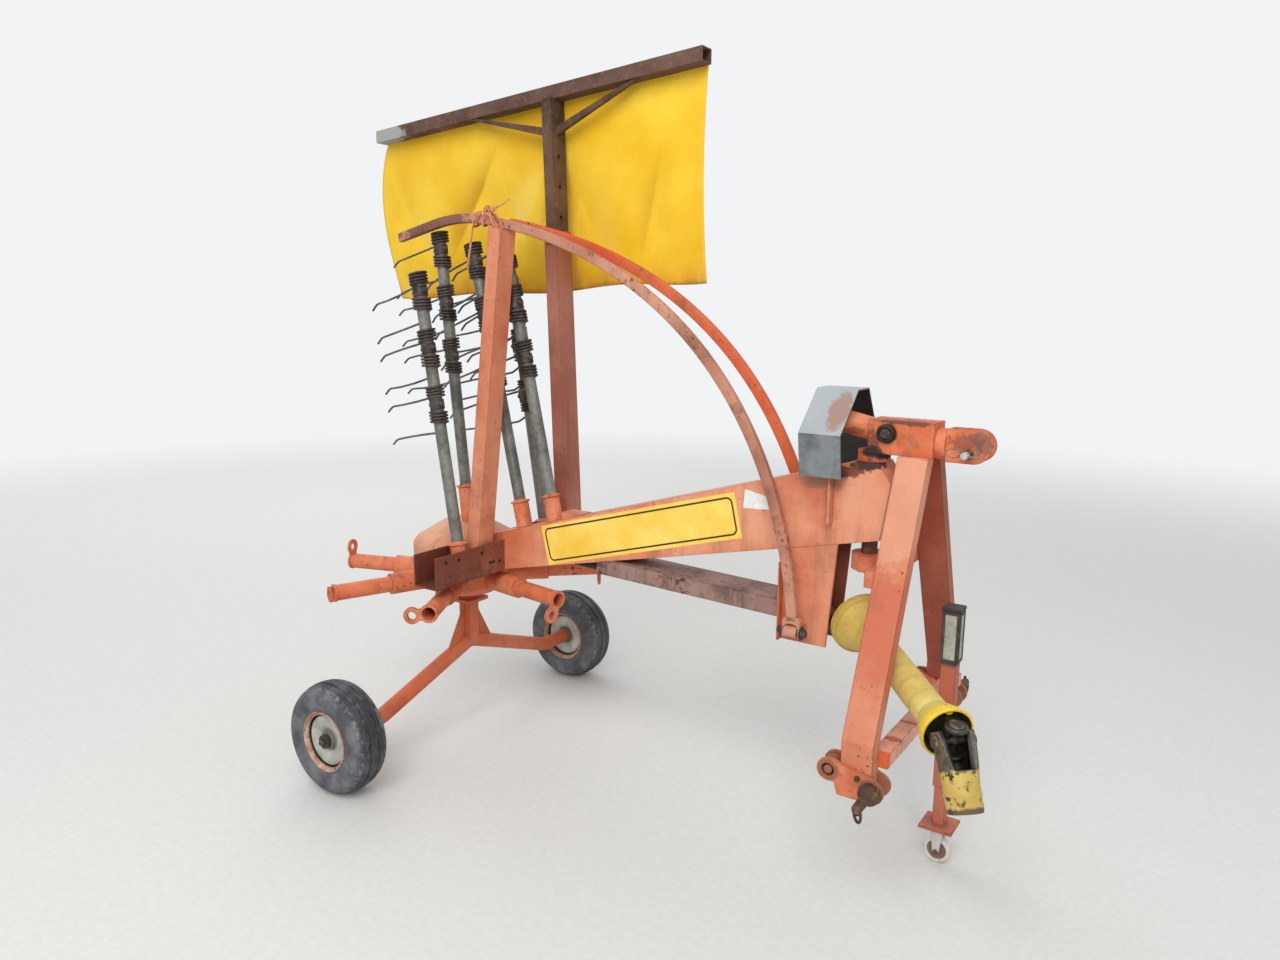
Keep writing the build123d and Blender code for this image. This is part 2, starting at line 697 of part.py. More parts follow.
pivot = (swivel_x, 0, pto_z)
input_yoke = rod((bearing_front + 28, 0, pto_z), (swivel_x - joint_back - 5, 0, pto_z), drive_r)
input_yoke += fork(pivot, (0, 0, 1), (1, 0, 0), rear_fork)
put(input_yoke, "input_yoke")

# Drive shaft to the tractor: joint, guarded tube, joint, yoke.
ahead = heading(pto_yaw, pto_pitch)
sideways = (-sin(radians(pto_yaw)), cos(radians(pto_yaw)), 0)
shaft_plane = Plane(origin=pivot, x_dir=sideways, z_dir=ahead)
put(cross(pivot, (((0, 0, 1), rear_fork), (sideways, rear_fork))), "shaft_cross_rear")


def on_shaft(s):
    return (pivot[0] + ahead[0] * s, pivot[1] + ahead[1] * s, pivot[2] + ahead[2] * s)


front_joint = on_shaft(pto_len + 30)
upright = tuple(Vector(*ahead).cross(Vector(*sideways)))
tube_in = rod(on_shaft(joint_back + 8), on_shaft(pto_len + 30 - front_fork[3] - 8), inner_r)
tube_in += fork(pivot, sideways, minus(ahead), rear_fork)
tube_in += fork(front_joint, upright, ahead, front_fork)
put(tube_in, "shaft_inner_tube")

neck_r = guard_r + seat_gap
bell_face = make_face(Polyline(
    (bell_r - bell_wall, 0, -bell_back), (bell_r, 0, -bell_back), (bell_r, 0, -bell_back + 14),
    (neck_r + 24, 0, 18), (neck_r + bell_wall, 0, 48), (neck_r + bell_wall, 0, 84), (neck_r, 0, 84),
    (neck_r, 0, 48), (neck_r + 19, 0, 18), (bell_r - bell_wall, 0, -bell_back + 14), close=True))
put(shaft_plane * revolve(bell_face, Axis.Z), "shaft_guard_cone")

bore = guard_r - guard_wall
collar_root = pto_len - collar_len
guard_face = make_face(Polyline(
    (bore, 0, 60), (guard_r, 0, 60), (guard_r, 0, collar_root), (bore, 0, collar_root), close=True))
guard = revolve(guard_face, Axis.Z)
for s in (70, collar_root - 30):
    guard += Pos(0, 0, s + 10) * (Cylinder(bore + 1, 20) - Cylinder(inner_r + run_gap, 20))
put(shaft_plane * guard, "shaft_guard_tube")
collar_face = make_face(Polyline(
    (bore, 0, collar_root), (guard_r, 0, collar_root), (collar_r, 0, pto_len - 22),
    (collar_r, 0, pto_len), (collar_r - guard_wall, 0, pto_len), (collar_r - guard_wall, 0, pto_len - 21),
    (bore, 0, collar_root + 1), close=True))
put(shaft_plane * revolve(collar_face, Axis.Z), "shaft_guard_collar")

hang = heading(pto_yaw, pto_pitch + yoke_bend)
put(cross(front_joint, ((sideways, yoke_fork), (upright, front_fork))), "shaft_cross_front")
joint_point = Vector(*front_joint)
end_yoke = rod(tuple(joint_point + Vector(*hang) * (yoke_fork[3] + 4)),
               tuple(joint_point + Vector(*hang) * yoke_len), yoke_r)
end_yoke += fork(front_joint, sideways, minus(hang), yoke_fork)
end_yoke -= rod(tuple(joint_point + Vector(*hang) * (yoke_fork[3] + 24)),
                tuple(joint_point + Vector(*hang) * (yoke_len + 9)), yoke_bore)
put(end_yoke, "shaft_front_yoke")

# Headstock: neck, yoke for the top link, swivel pin.
neck_z = box_low + box_h / 2
neck = block(box_rear, box_front, -box_w / 2, box_w / 2, box_low, box_low + box_h)
neck += rod((neck_tube_rear, 0, neck_z + neck_tube_rise), (box_rear + 30, 0, neck_z + 8), neck_tube_r)
neck += rod((box_front, 0, ear_z), (box_front + 30, 0, ear_z), link_r - 2)
neck += rod((swivel_x, 0, nose_z + seat_gap), (swivel_x, 0, box_low + 5), swivel_collar_r)
neck += rod((neck_bolt[0], -box_w / 2 - 12, neck_bolt[1]), (neck_bolt[0], box_w / 2 + 12, neck_bolt[1]), neck_bolt_r)
put(neck, "headstock_neck")

yoke = block(box_front + 30, box_front + 42, -link_gap / 2 - link_t, link_gap / 2 + link_t,
             ear_z - link_r, ear_z + link_r)
for side in (-1, 1):
    y0, y1 = sorted((side * link_gap / 2, side * (link_gap / 2 + link_t)))
    yoke += block(box_front + 30, ear_x, y0, y1, ear_z - link_r, ear_z + link_r)
    yoke += rod((ear_x, y0, ear_z), (ear_x, y1, ear_z), link_r)
yoke -= rod((link_x, -90, link_z), (link_x, 90, link_z), link_pin_r + run_gap)
put(yoke, "top_link_yoke")

link_out = link_gap / 2 + link_t + seat_gap
link_pin = rod((link_x, -link_out - 26, link_z), (link_x, link_out + 12, link_z), link_pin_r)
link_pin += rod((link_x, link_out, link_z), (link_x, link_out + 12, link_z), 21)
put(link_pin, "top_link_pin")
put(rod((swivel_x, 0, swivel_low), (swivel_x, 0, nose_z), swivel_r), "swivel_pin")

# Headstock legs, each standing between the two plates of its hitch foot.
knee_y = hitch_shoulder - foot_plate_t - foot_gap / 2
leg_slope = atan2(knee_y - head_top_y, box_low - leg_knee_z)
wide = head_leg_t / 2 / cos(leg_slope)
leg_side = [(head_top_y - wide, box_low), (knee_y - head_leg_t / 2, leg_knee_z),
            (knee_y - head_leg_t / 2, leg_low + seat_gap), (knee_y + head_leg_t / 2, leg_low + seat_gap),
            (knee_y + head_leg_t / 2, leg_knee_z + 10), (head_top_y + wide, box_low)]
foot_side = [(foot_eye[0], foot_eye[1] - foot_eye_r), (1783, 462), (1794, hitch_z - foot_nose_r),
             (hitch_x, hitch_z - foot_nose_r), (hitch_x + 24, hitch_z + 24),
             (hitch_x - 2, hitch_z + foot_nose_r + 3), (1780, 526), (foot_eye[0], foot_eye[1] + foot_eye_r)]
foot_inner = hitch_shoulder - foot_gap - 2 * foot_plate_t
for side, name in ((-1, "right"), (1, "left")):
    leg = plate_yz([(side * y, z) for y, z in leg_side], head_leg_x - head_leg_w / 2, head_leg_x + head_leg_w / 2)
    put(leg, "headstock_leg_" + name)
    eye = [(foot_eye[0], side * y, foot_eye[1]) for y in (foot_inner, hitch_shoulder, hitch_shoulder + 1)]
    foot = rod(eye[0], eye[1], foot_bush_r)
    for y_in in (foot_inner, hitch_shoulder - foot_plate_t):
        y0, y1 = sorted((side * y_in, side * (y_in + foot_plate_t)))
        foot += plate_xz(foot_side, y0, y1)
        foot += rod((foot_eye[0], y0, foot_eye[1]), (foot_eye[0], y1, foot_eye[1]), foot_eye_r)
        foot += rod((hitch_x, y0, hitch_z), (hitch_x, y1, hitch_z), foot_nose_r)
    foot -= rod((foot_eye[0], side * (foot_inner - 1), foot_eye[1]), eye[2], foot_eye_bore)
    put(foot, "hitch_foot_" + name)
    out = hitch_shoulder + seat_gap
    pin = rod((hitch_x, side * out, hitch_z), (hitch_x, side * (out + hitch_pin_len), hitch_z), hitch_pin_r)
    pin += rod((hitch_x, side * out, hitch_z), (hitch_x, side * (out + hitch_collar), hitch_z), 24)
    put(pin, "hitch_pin_" + name)

bar_x0, bar_x1 = lower_bar_x - lower_bar / 2, lower_bar_x + lower_bar / 2
bar_end = knee_y - head_leg_t / 2
put(block(bar_x0, bar_x1, -bar_end, bar_end, lower_bar_z - lower_bar_h / 2, lower_bar_z + lower_bar_h / 2),
    "lower_crossbar")

mid_low, mid_high = mid_bar_z - mid_bar_h / 2, mid_bar_z + mid_bar_h / 2
leg_rear = head_leg_x - head_leg_w / 2
mid = block(swivel_x - 12, leg_rear - 3, -60, 60, mid_low, mid_high)
mid += block(leg_rear - 33, leg_rear, -205, 205, mid_low, mid_high)
mid += rod((swivel_x, 0, mid_low), (swivel_x, 0, mid_high), 52)
mid -= rod((swivel_x, 0, mid_low - 9), (swivel_x, 0, mid_high + 9), swivel_r + run_gap)
put(mid, "mid_crossbar")

# Hood over the neck tube.
hood_side = [(-122, hood_low), (-142, 1377), (-14, 1503), (76, 1504), (146, 1390), (126, hood_low)]
hood_face = make_face(Polyline(*[(hood_rear, y, z) for y, z in hood_side], close=True))
hood_in = offset(hood_face, -hood_wall)
hood = extrude(hood_face, amount=hood_front - hood_rear, dir=(1, 0, 0))
hood -= extrude(Pos(-1, 0, 0) * hood_in, amount=hood_front - hood_rear + 2, dir=(1, 0, 0))
hood -= block(hood_rear - 1, hood_front + 1, -beam_w / 2, beam_w / 2, hood_low - 1, hood_low + hood_wall + 1)
put(hood, "hood")

# Jack with its castor.
jack_x = bar_x1 + jack_out / 2


def post_block(half, z0, z1):
    return block(jack_x - half, jack_x + half, jack_y - half, jack_y + half, z0, z1)


sleeve = post_block(jack_out / 2, jack_low, jack_top - 1)
sleeve += post_block(jack_case / 2, jack_case_low, jack_top - 1)
sleeve += post_block(jack_cap / 2, jack_top - jack_cap_t, jack_top)
sleeve -= post_block(jack_out / 2 - jack_wall, jack_low - 5, jack_top - jack_cap_t - 4)
put(sleeve, "jack_sleeve")
plate_top = jack_foot_z + 8
put(post_block(jack_in / 2, plate_top, jack_inner_top) + post_block(jack_plate, jack_foot_z, plate_top), "jack_leg")

stem_top = jack_foot_z - run_gap
castor = rod((jack_x, jack_y, jack_foot_z - 10), (jack_x, jack_y, stem_top), 24)
for s in (-1, 1):
    y0 = jack_y + s * (castor_w / 2 + 4 + 2)
    castor += block(jack_x - 17, jack_x + 17, y0 - 2, y0 + 2, castor_r - 14, jack_foot_z - 6)
castor += block(jack_x - 26, jack_x + 26, jack_y - castor_w / 2 - 8, jack_y + castor_w / 2 + 8,
                jack_foot_z - 14, jack_foot_z - 6)
castor_out = castor_w / 2 + 12
castor += rod((jack_x, jack_y - castor_out, castor_r), (jack_x, jack_y + castor_out, castor_r), 6)
put(castor, "castor_fork")
put(pipe((jack_x, jack_y - castor_w / 2, castor_r), (jack_x, jack_y + castor_w / 2, castor_r),
         castor_r, 6 + run_gap), "castor_wheel")
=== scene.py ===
import bpy
import numpy as np
from mathutils import Matrix


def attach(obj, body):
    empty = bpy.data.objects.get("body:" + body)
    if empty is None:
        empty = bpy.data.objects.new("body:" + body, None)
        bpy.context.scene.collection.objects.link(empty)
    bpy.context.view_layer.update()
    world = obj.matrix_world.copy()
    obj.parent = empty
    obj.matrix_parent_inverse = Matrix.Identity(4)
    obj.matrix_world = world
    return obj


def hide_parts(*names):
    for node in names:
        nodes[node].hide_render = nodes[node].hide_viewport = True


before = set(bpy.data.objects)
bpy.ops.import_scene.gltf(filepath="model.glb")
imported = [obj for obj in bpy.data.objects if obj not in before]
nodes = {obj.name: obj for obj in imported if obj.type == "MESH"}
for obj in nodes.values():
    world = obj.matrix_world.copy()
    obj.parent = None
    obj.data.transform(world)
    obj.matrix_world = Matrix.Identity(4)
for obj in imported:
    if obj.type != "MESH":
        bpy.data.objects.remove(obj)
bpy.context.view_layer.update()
scene = bpy.context.scene
rotorAxis = -0.8006  # x of the rotor axis: sizes below count from it, in mm
print("frame loaded,", len(nodes), "nodes")


def fromRotor(points):
    # mm counted from the rotor axis -> metres in the machine's frame
    return np.asarray(points, dtype=float) / 1000 + (rotorAxis, 0, 0)


def unit(vector):
    vector = np.asarray(vector, dtype=float)
    return vector / np.linalg.norm(vector, axis=-1, keepdims=True)


def gridFaces(rows, columns, wrapRows=False, wrapColumns=False):
    # quads between neighbours of a rows x columns grid of points; a wrapped way closes on itself
    i, j = np.meshgrid(np.arange(rows - 1 + wrapRows), np.arange(columns - 1 + wrapColumns), indexing="ij")
    k, m = (i + 1) % rows, (j + 1) % columns
    corners = (i * columns + j, i * columns + m, k * columns + m, k * columns + j)
    return np.stack(corners, axis=-1).reshape(-1, 4)


def ringOutline(radius, count, first=0.0):
    turn = np.linspace(0, 2 * np.pi, count, endpoint=False) + first
    return np.stack([radius * np.cos(turn), radius * np.sin(turn)], -1)


class Shape:
    # gathers surfaces, each with the number of its finish, into the mesh of one piece
    def __init__(self):
        self.points, self.faces, self.slots, self.flow, self.count = [], [], [], [], 0

    def add(self, points, faces, slot=0, flow=None):
        points = np.asarray(points, dtype=float).reshape(-1, 3)
        faces = [list(face) for face in faces]
        self.faces += [[number + self.count for number in face] for face in faces]
        self.slots += [slot] * len(faces)
        self.points.append(points)
        self.flow.append(np.zeros((len(points), 3)) if flow is None else flow)
        self.count += len(points)

    def make(self, name, body, looks, sharp, replaces=()):
        # looks: the name of each finish; edges sharper than so many degrees stay sharp
        mesh = bpy.data.meshes.new(name)
        mesh.from_pydata(np.concatenate(self.points).tolist(), [], self.faces)
        mesh.polygons.foreach_set("material_index", self.slots)
        spread = mesh.attributes.new("flow", "FLOAT_VECTOR", "POINT")
        spread.data.foreach_set("vector", np.concatenate(self.flow).ravel())
        for look in looks:
            mesh.materials.append(finishes[look])
        mesh.shade_smooth()
        mesh.set_sharp_from_angle(angle=np.radians(sharp))
        piece = bpy.data.objects.new(name, mesh)
        scene.collection.objects.link(piece)
        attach(piece, body)
        if replaces:
            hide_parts(*replaces)
        return piece


def lathe(shape, profile, centre, axis, steps=48, slot=0, closed=False):
    # a profile of (radius, distance along axis) turned about the axis through centre; a first or last
    # radius of 0 closes as a fan, and faces that would look inward are turned over
    profile = np.asarray(profile, dtype=float)
    axis = unit(axis)
    side = unit(np.cross(axis, (0.31, 0.95, 0.05)))
    other = np.cross(axis, side)
    spoke = ringOutline(1, steps) @ (side, other)
    open0, open1 = profile[0, 0] < 1e-9, profile[-1, 0] < 1e-9
    rings = profile[int(open0):len(profile) - int(open1)]
    points = np.asarray(centre) + rings[:, 1, None, None] * axis + rings[:, 0, None, None] * spoke
    points = points.reshape(-1, 3)
    faces = gridFaces(len(rings), steps, closed, True).tolist()
    j = np.arange(steps)
    if open0:
        points = np.vstack([points, np.asarray(centre) + profile[0, 1] * axis])
        faces += np.stack([np.full(steps, len(points) - 1), (j + 1) % steps, j], -1).tolist()
    if open1:
        last = (len(rings) - 1) * steps
        points = np.vstack([points, np.asarray(centre) + profile[-1, 1] * axis])
        faces += np.stack([last + j, last + (j + 1) % steps, np.full(steps, len(points) - 1)], -1).tolist()
    first, second, third = (points[[face[k] for face in faces]] - centre for k in (0, 1, 2))
    fourth = points[[face[-1] for face in faces]] - centre
    volume = (first * np.cross(second, third)).sum() + (first * np.cross(third, fourth)).sum()
    shape.add(points, faces if volume > 0 else [face[::-1] for face in faces], slot)


def tube(shape, path, radius, lead, sides=10, slot=0):
    # a circle carried along a path, kept square to it; lead is a direction, or one for each point,
    # from which the circle's own turn is counted; both ends are rounded off and closed
    path = np.asarray(path, dtype=float)
    ahead = unit(np.gradient(path, axis=0))
    radius = np.broadcast_to(radius, len(path)).astype(float)
    cap = radius[0] * 0.45, radius[-1] * 0.45
    path = np.vstack([path[0] - ahead[0] * cap[0], path, path[-1] + ahead[-1] * cap[1]])
    ahead = np.vstack([ahead[:1], ahead, ahead[-1:]])
    radius = np.concatenate([[radius[0] * 0.6], radius, [radius[-1] * 0.6]])
    lead = np.broadcast_to(lead, (len(path) - 2, 3))
    lead = np.vstack([lead[:1], lead, lead[-1:]])
    side = unit(lead - (lead * ahead).sum(1, keepdims=True) * ahead)
    other = np.cross(ahead, side)
    turn = ringOutline(1, sides)
    ring = turn[:, :1] * side[:, None] + turn[:, 1:] * other[:, None]
    points = path[:, None] + radius[:, None, None] * ring
    run = np.concatenate([[0], np.cumsum(np.linalg.norm(np.diff(path, axis=0), axis=1))])
    flow = np.zeros(points.shape)
    flow[..., 0], flow[..., 1] = run[:, None], turn[:, 0]
    rows = len(path)
    faces = gridFaces(rows, sides, False, True).tolist()
    faces += [list(range(sides - 1, -1, -1)), list(range((rows - 1) * sides, rows * sides))]
    shape.add(points, faces, slot, flow.reshape(-1, 3))


def prism(shape, outline, centre, across, out, height, bevel, slot=0):
    # an outline of (across, up) points, counted anticlockwise seen from outside, raised by height
    # along out; its outer edge is set in by bevel, measured square to each side of the outline
    outline = np.asarray(outline, dtype=float)
    across, out = unit(across), unit(out)
    up = np.cross(out, across)
    along = unit(np.roll(outline, -1, 0) - outline)
    normal = np.stack([along[:, 1], -along[:, 0]], -1)
    corner = unit(normal + np.roll(normal, 1, 0))
    reach = bevel / np.maximum(0.3, (corner * normal).sum(1))
    inset = outline - corner * reach[:, None]
    levels = [(outline, 0.0), (outline, height - bevel), (inset, height)]
    rings = [np.asarray(centre) + ring[:, :1] * across + ring[:, 1:] * up + level * out
             for ring, level in levels]
    count = len(outline)
    faces = gridFaces(3, count, False, True).tolist()
    faces += [list(range(count - 1, -1, -1)), list(range(2 * count, 3 * count))]
    shape.add(np.concatenate(rings), faces, slot)


def rectangle(width, height):
    return np.array([(-width, -height), (width, -height), (width, height), (-width, height)]) / 2


def boltHead(shape, centre, out, size=0.0095, slot=0, washer=True, nut=False):
    # hexagon on a washer, and the end of the thread where it is a nut; size is half the spanner width
    out = unit(out)
    across = unit(np.cross(out, (0.2, 0.3, 0.93)))
    centre = np.asarray(centre, dtype=float) - out * 0.0006
    if washer:
        prism(shape, ringOutline(size * 1.95, 20), centre, across, out, 0.003, 0.0007, slot)
        centre = centre + out * 0.0022
    prism(shape, ringOutline(size * 1.155, 6, 0.4), centre, across, out, size * 1.25, size * 0.16, slot)
    if nut:
        thread = np.array(((0, 0), (0.6, 0), (0.6, 1.9), (0.5, 2.05), (0, 2.05))) * size
        lathe(shape, thread, centre, out, 14, slot)


# Finishes: arithmetic on sockets, and one method for every other node.
def feed(tree, slot, value):
    if isinstance(value, Link):
        tree.links.new(value.socket, slot)
    else:
        slot.default_value = value


class Link:
    # one output socket; + - * on it add Math nodes
    def __init__(self, tree, socket):
        self.tree, self.socket = tree, socket

    def math(self, operation, first, second):
        made = self.tree.nodes.new("ShaderNodeMath")
        made.operation = operation
        feed(self.tree, made.inputs[0], first)
        feed(self.tree, made.inputs[1], second)
        return Link(self.tree, made.outputs[0])

    def __add__(self, other):
        return self.math("ADD", self, other)

    def __radd__(self, other):
        return self.math("ADD", other, self)

    def __sub__(self, other):
        return self.math("SUBTRACT", self, other)

    def __rsub__(self, other):
        return self.math("SUBTRACT", other, self)

    def __mul__(self, other):
        return self.math("MULTIPLY", self, other)


def tint(text):
    # linear colour of the usual six hexadecimal digits
    parts = np.array([int(text[i:i + 2], 16) / 255 for i in (0, 2, 4)])
    linear = np.where(parts <= 0.04045, parts / 12.92, ((parts + 0.055) / 1.055) ** 2.4)
    return (*linear.tolist(), 1.0)


class Finish:
    def __init__(self, name):
        self.material = bpy.data.materials.new(name)
        self.material.use_nodes = True
        self.tree = self.material.node_tree
        self.tree.nodes.clear()
        self.here = self.node("ShaderNodeTexCoord", {}, {}, "Object")

    def node(self, kind, settings, inputs, output=0):
        made = self.tree.nodes.new(kind)
        for key, value in settings.items():
            setattr(made, key, value)
        for key, value in inputs.items():
            feed(self.tree, made.inputs[key], value)
        return Link(self.tree, made.outputs[output]) if len(made.outputs) else None

    def noise(self, scale, detail=4.0, rough=0.55, stretch=(1, 1, 1), shift=0.0):
        place = self.node("ShaderNodeMapping", {}, {"Vector": self.here, "Scale": stretch,
                                                    "Location": (shift, shift * 0.7, shift * 1.3)})
        return self.node("ShaderNodeTexNoise", {}, {"Vector": place, "Scale": scale, "Detail": detail,
                                                    "Roughness": rough})

    def step(self, value, low, high):
        # 0 up to low, 1 from high, smooth between
        return self.node("ShaderNodeMapRange", {"interpolation_type": "SMOOTHSTEP"},
                         {"Value": value, "From Min": low, "From Max": high})

    def blend(self, factor, under, over):
        return self.node("ShaderNodeMix", {"data_type": "RGBA"}, {0: factor, 6: under, 7: over}, 2)

    def cover(self, under, value, low, high, over, share=1.0):
        # a colour laid over another where value goes from low to high, at most by share
        factor = self.step(value, low, high)
        return self.blend(factor if share == 1.0 else factor * share, under, tint(over))

    def vector(self, operation, first, second, output=0):
        return self.node("ShaderNodeVectorMath", {"operation": operation}, {0: first, 1: second}, output)

    def part(self, value, letter):
        return self.node("ShaderNodeSeparateXYZ", {}, {0: value}, letter)

    def along(self, origin, direction):
        # distance from a point along a direction
        return self.vector("DOT_PRODUCT", self.vector("SUBTRACT", self.here, origin), direction, 1)

    def fromAxis(self, origin, direction):
        # distance from a line
        offset = self.vector("SUBTRACT", self.here, origin)
        return self.vector("LENGTH", self.vector("CROSS_PRODUCT", offset, direction), (0, 0, 0), 1)

    def edges(self, radius):
        # the rounded normal, and how far it leans from the real one: 0 on a face, 1 at a square edge
        soft = self.node("ShaderNodeBevel", {"samples": 4}, {"Radius": radius})
        flat = self.node("ShaderNodeNewGeometry", {}, {}, "Normal")
        return soft, (1.0 - self.vector("DOT_PRODUCT", soft, flat, 1)) * 3.4

    def close(self, colour, roughness, metallic, height, depth, normal=None, **constants):
        # the surface: a bump of height on the given normal, or on the real one
        bump = {"Height": height, "Distance": depth, "Strength": 1.0}
        if normal is not None:
            bump["Normal"] = normal
        inputs = {"Base Color": colour, "Roughness": roughness, "Metallic": metallic,
                  "Normal": self.node("ShaderNodeBump", {}, bump)}
        inputs.update({key.replace("_", " "): value for key, value in constants.items()})
        shader = self.node("ShaderNodeBsdfPrincipled", {}, inputs)
        self.node("ShaderNodeOutputMaterial", {}, {"Surface": shader})
        return self.material


def patch(centre, reach, colour, amount=1.0, ragged=2.4, scale=26):
    # a stain round a point (mm from the rotor axis) that reaches so far along x, y and z, ragged outside
    middle, reach = tuple(fromRotor(centre)), tuple(1000 / np.asarray(reach, dtype=float))

    def mark(f):
        offset = f.vector("MULTIPLY", f.vector("SUBTRACT", f.here, middle), reach)
        away = f.vector("LENGTH", offset, (0, 0, 0), 1)
        rough = f.noise(scale, 6, 0.7, shift=centre[0] * 0.013)
        return (1.0 - f.step(away + (rough - 0.5) * ragged, 0.72, 1.02)) * amount, colour
    return mark


def beyond(centre, direction, start, end, colour, amount=1.0, ragged=0.0):
    # everything past a plane: start and end in metres along direction from a point (mm from the rotor axis)
    def mark(f):
        run = f.along(tuple(fromRotor(centre)), direction)
        if ragged:
            run = run + (f.noise(30, 6, 0.7, shift=start * 7) - 0.5) * ragged
        return f.step(run, start, end) * amount, colour
    return mark


def nearLine(centre, direction, inner, outer, colour, amount=1.0, ragged=0.0):
    # everything nearer than inner (m) to a line through a point (mm from the rotor axis)
    def mark(f):
        away = f.fromAxis(tuple(fromRotor(centre)), direction)
        if ragged:
            away = away + (f.noise(45, 6, 0.7, shift=inner * 9) - 0.5) * ragged
        return (1.0 - f.step(away, inner, outer)) * amount, colour
    return mark


def facing(direction, least, colour, amount=1.0):
    # faces that look in a direction
    def mark(f):
        normal = f.node("ShaderNodeNewGeometry", {}, {}, "True Normal")
        return f.step(f.vector("DOT_PRODUCT", normal, direction, 1), least, least + 0.05) * amount, colour
    return mark


def inward(centre, colour, amount=1.0):
    # faces that look towards a line along x through a point (mm from the rotor axis)
    def mark(f):
        normal = f.node("ShaderNodeNewGeometry", {}, {}, "True Normal")
        offset = f.vector("MULTIPLY", f.vector("SUBTRACT", f.here, tuple(fromRotor(centre))), (0, 1, 1))
        return (1.0 - f.step(f.vector("DOT_PRODUCT", normal, offset, 1), -0.002, 0.0)) * amount, colour
    return mark


def both(first, second):
    # where two marks lie over each other, in the colour of the second
    def mark(f):
        return first(f)[0] * second(f)[0], second(f)[1]
    return mark


def spotted(f, colour, look):
    for mark in look.get("marks", ()):
        factor, over = mark(f)
        colour = f.blend(factor, colour, tint(over))
    return colour


def paintFinish(name, look):
    # sun-bleached paint: clouds of fresh and faded colour, dark drift, run-off streaks, stone chips and
    # rust that starts along the edges
    f = Finish(name)
    soft, edge = f.edges(look.get("round", 0.004))
    clouds = f.noise(look["clouds"], 5, 0.6, shift=look["shift"])
    colour = f.blend(f.step(clouds, 0.36, 0.66), tint(look["fresh"]), tint(look["faded"]))
    drift = f.noise(look["clouds"] * 2.6, 6, 0.68, shift=look["shift"] + 5)
    colour = f.cover(colour, drift, 0.5, 0.74, look["dark"], look["drift"])
    streaks = f.noise(17, 6, 0.62, stretch=look.get("stretch", (1, 1, 0.1)), shift=look["shift"] + 9)
    colour = f.cover(colour, streaks, 0.5, 0.74, look["grime"], look["streaks"])
    grain = f.noise(150, 4, 0.6, shift=look["shift"])
    fine = f.noise(52, 6, 0.72, shift=look["shift"] + 2)
    place = f.noise(4.2, 3, 0.5, shift=look["shift"] + 4)
    specks = f.step(f.noise(88, 3, 0.6, shift=look["shift"] + 7) + (place - 0.5) * 0.12, 0.675, 0.7)
    colour = f.blend(specks * 0.85, colour, tint(look["rustDark"]))
    wear = fine + (place - 0.5) * 0.55 + edge * look["edges"]
    chipped = f.step(wear, look["chips"], look["chips"] + 0.035)
    halo = f.step(wear, look["chips"] - 0.07, look["chips"] + 0.01)
    rust = f.blend(f.step(grain, 0.35, 0.65), tint(look["rustDark"]), tint(look["rust"]))
    colour = f.blend(halo * 0.4, colour, tint(look["rust"]))
    colour = spotted(f, f.blend(chipped, colour, rust), look)
    roughness = 0.5 + drift * 0.22 + chipped * 0.18
    height = fine * 0.25 + grain * 0.25 + chipped * -0.5
    return f.close(colour, roughness, 0.0, height, 0.0011, soft)


def zincFinish(name, look):
    # dull zinc: soft spangle, pale bloom, brown rust bleeding from spots
    f = Finish(name)
    soft, edge = f.edges(0.003)
    cells = f.node("ShaderNodeTexVoronoi", {}, {"Vector": f.here, "Scale": look["spangle"]}, "Color")
    shade = f.part(cells, "X")
    clouds = f.noise(9, 6, 0.65, shift=look["shift"])
    colour = f.blend(f.step(clouds + shade * 0.12, 0.38, 0.72), tint(look["dull"]), tint(look["bright"]))
    streaks = f.noise(21, 6, 0.66, stretch=look.get("stretch", (1, 1, 0.12)), shift=look["shift"] + 3)
    colour = f.cover(colour, streaks, 0.5, 0.75, look["stain"], look["streaks"])
    fine = f.noise(46, 6, 0.72, shift=look["shift"] + 6)
    place = f.noise(5, 3, 0.5, shift=look["shift"] + 8)
    rusty = f.step(fine + (place - 0.5) * 0.6 + edge * 0.2, look["rustAt"], look["rustAt"] + 0.08)
    colour = spotted(f, f.blend(rusty, colour, tint(look["rust"])), look)
    return f.close(colour, 0.42 + clouds * 0.25 + rusty * 0.25, 0.35 - rusty * 0.3,
                   fine * 0.4 + clouds * 0.2, 0.0007, soft)


def rustFinish(name, look):
    # bare steel gone brown: three tones of rust, flakes, and some steel or grease left
    f = Finish(name)
    soft, edge = f.edges(0.003)
    clouds = f.noise(look["clouds"], 6, 0.65, shift=look["shift"])
    colour = f.blend(f.step(clouds, 0.35, 0.65), tint(look["dark"]), tint(look["mid"]))
    flakes = f.noise(38, 7, 0.75, shift=look["shift"] + 3)
    colour = f.cover(colour, flakes, 0.52, 0.7, look["light"], look["flakes"])
    grain = f.noise(170, 5, 0.7, shift=look["shift"] + 5)
    colour = f.cover(colour, grain, 0.5, 0.8, look["dark"], 0.4)
    worn = f.step(edge + (flakes - 0.5) * 0.6, 0.25, 0.8) * look["worn"]
    colour = spotted(f, f.blend(worn, colour, tint(look["steel"])), look)
    return f.close(colour, look["rough"] + flakes * 0.2, look["metal"] + worn * 0.2,
                   flakes * 0.8 + grain * 0.4, 0.0012, soft)


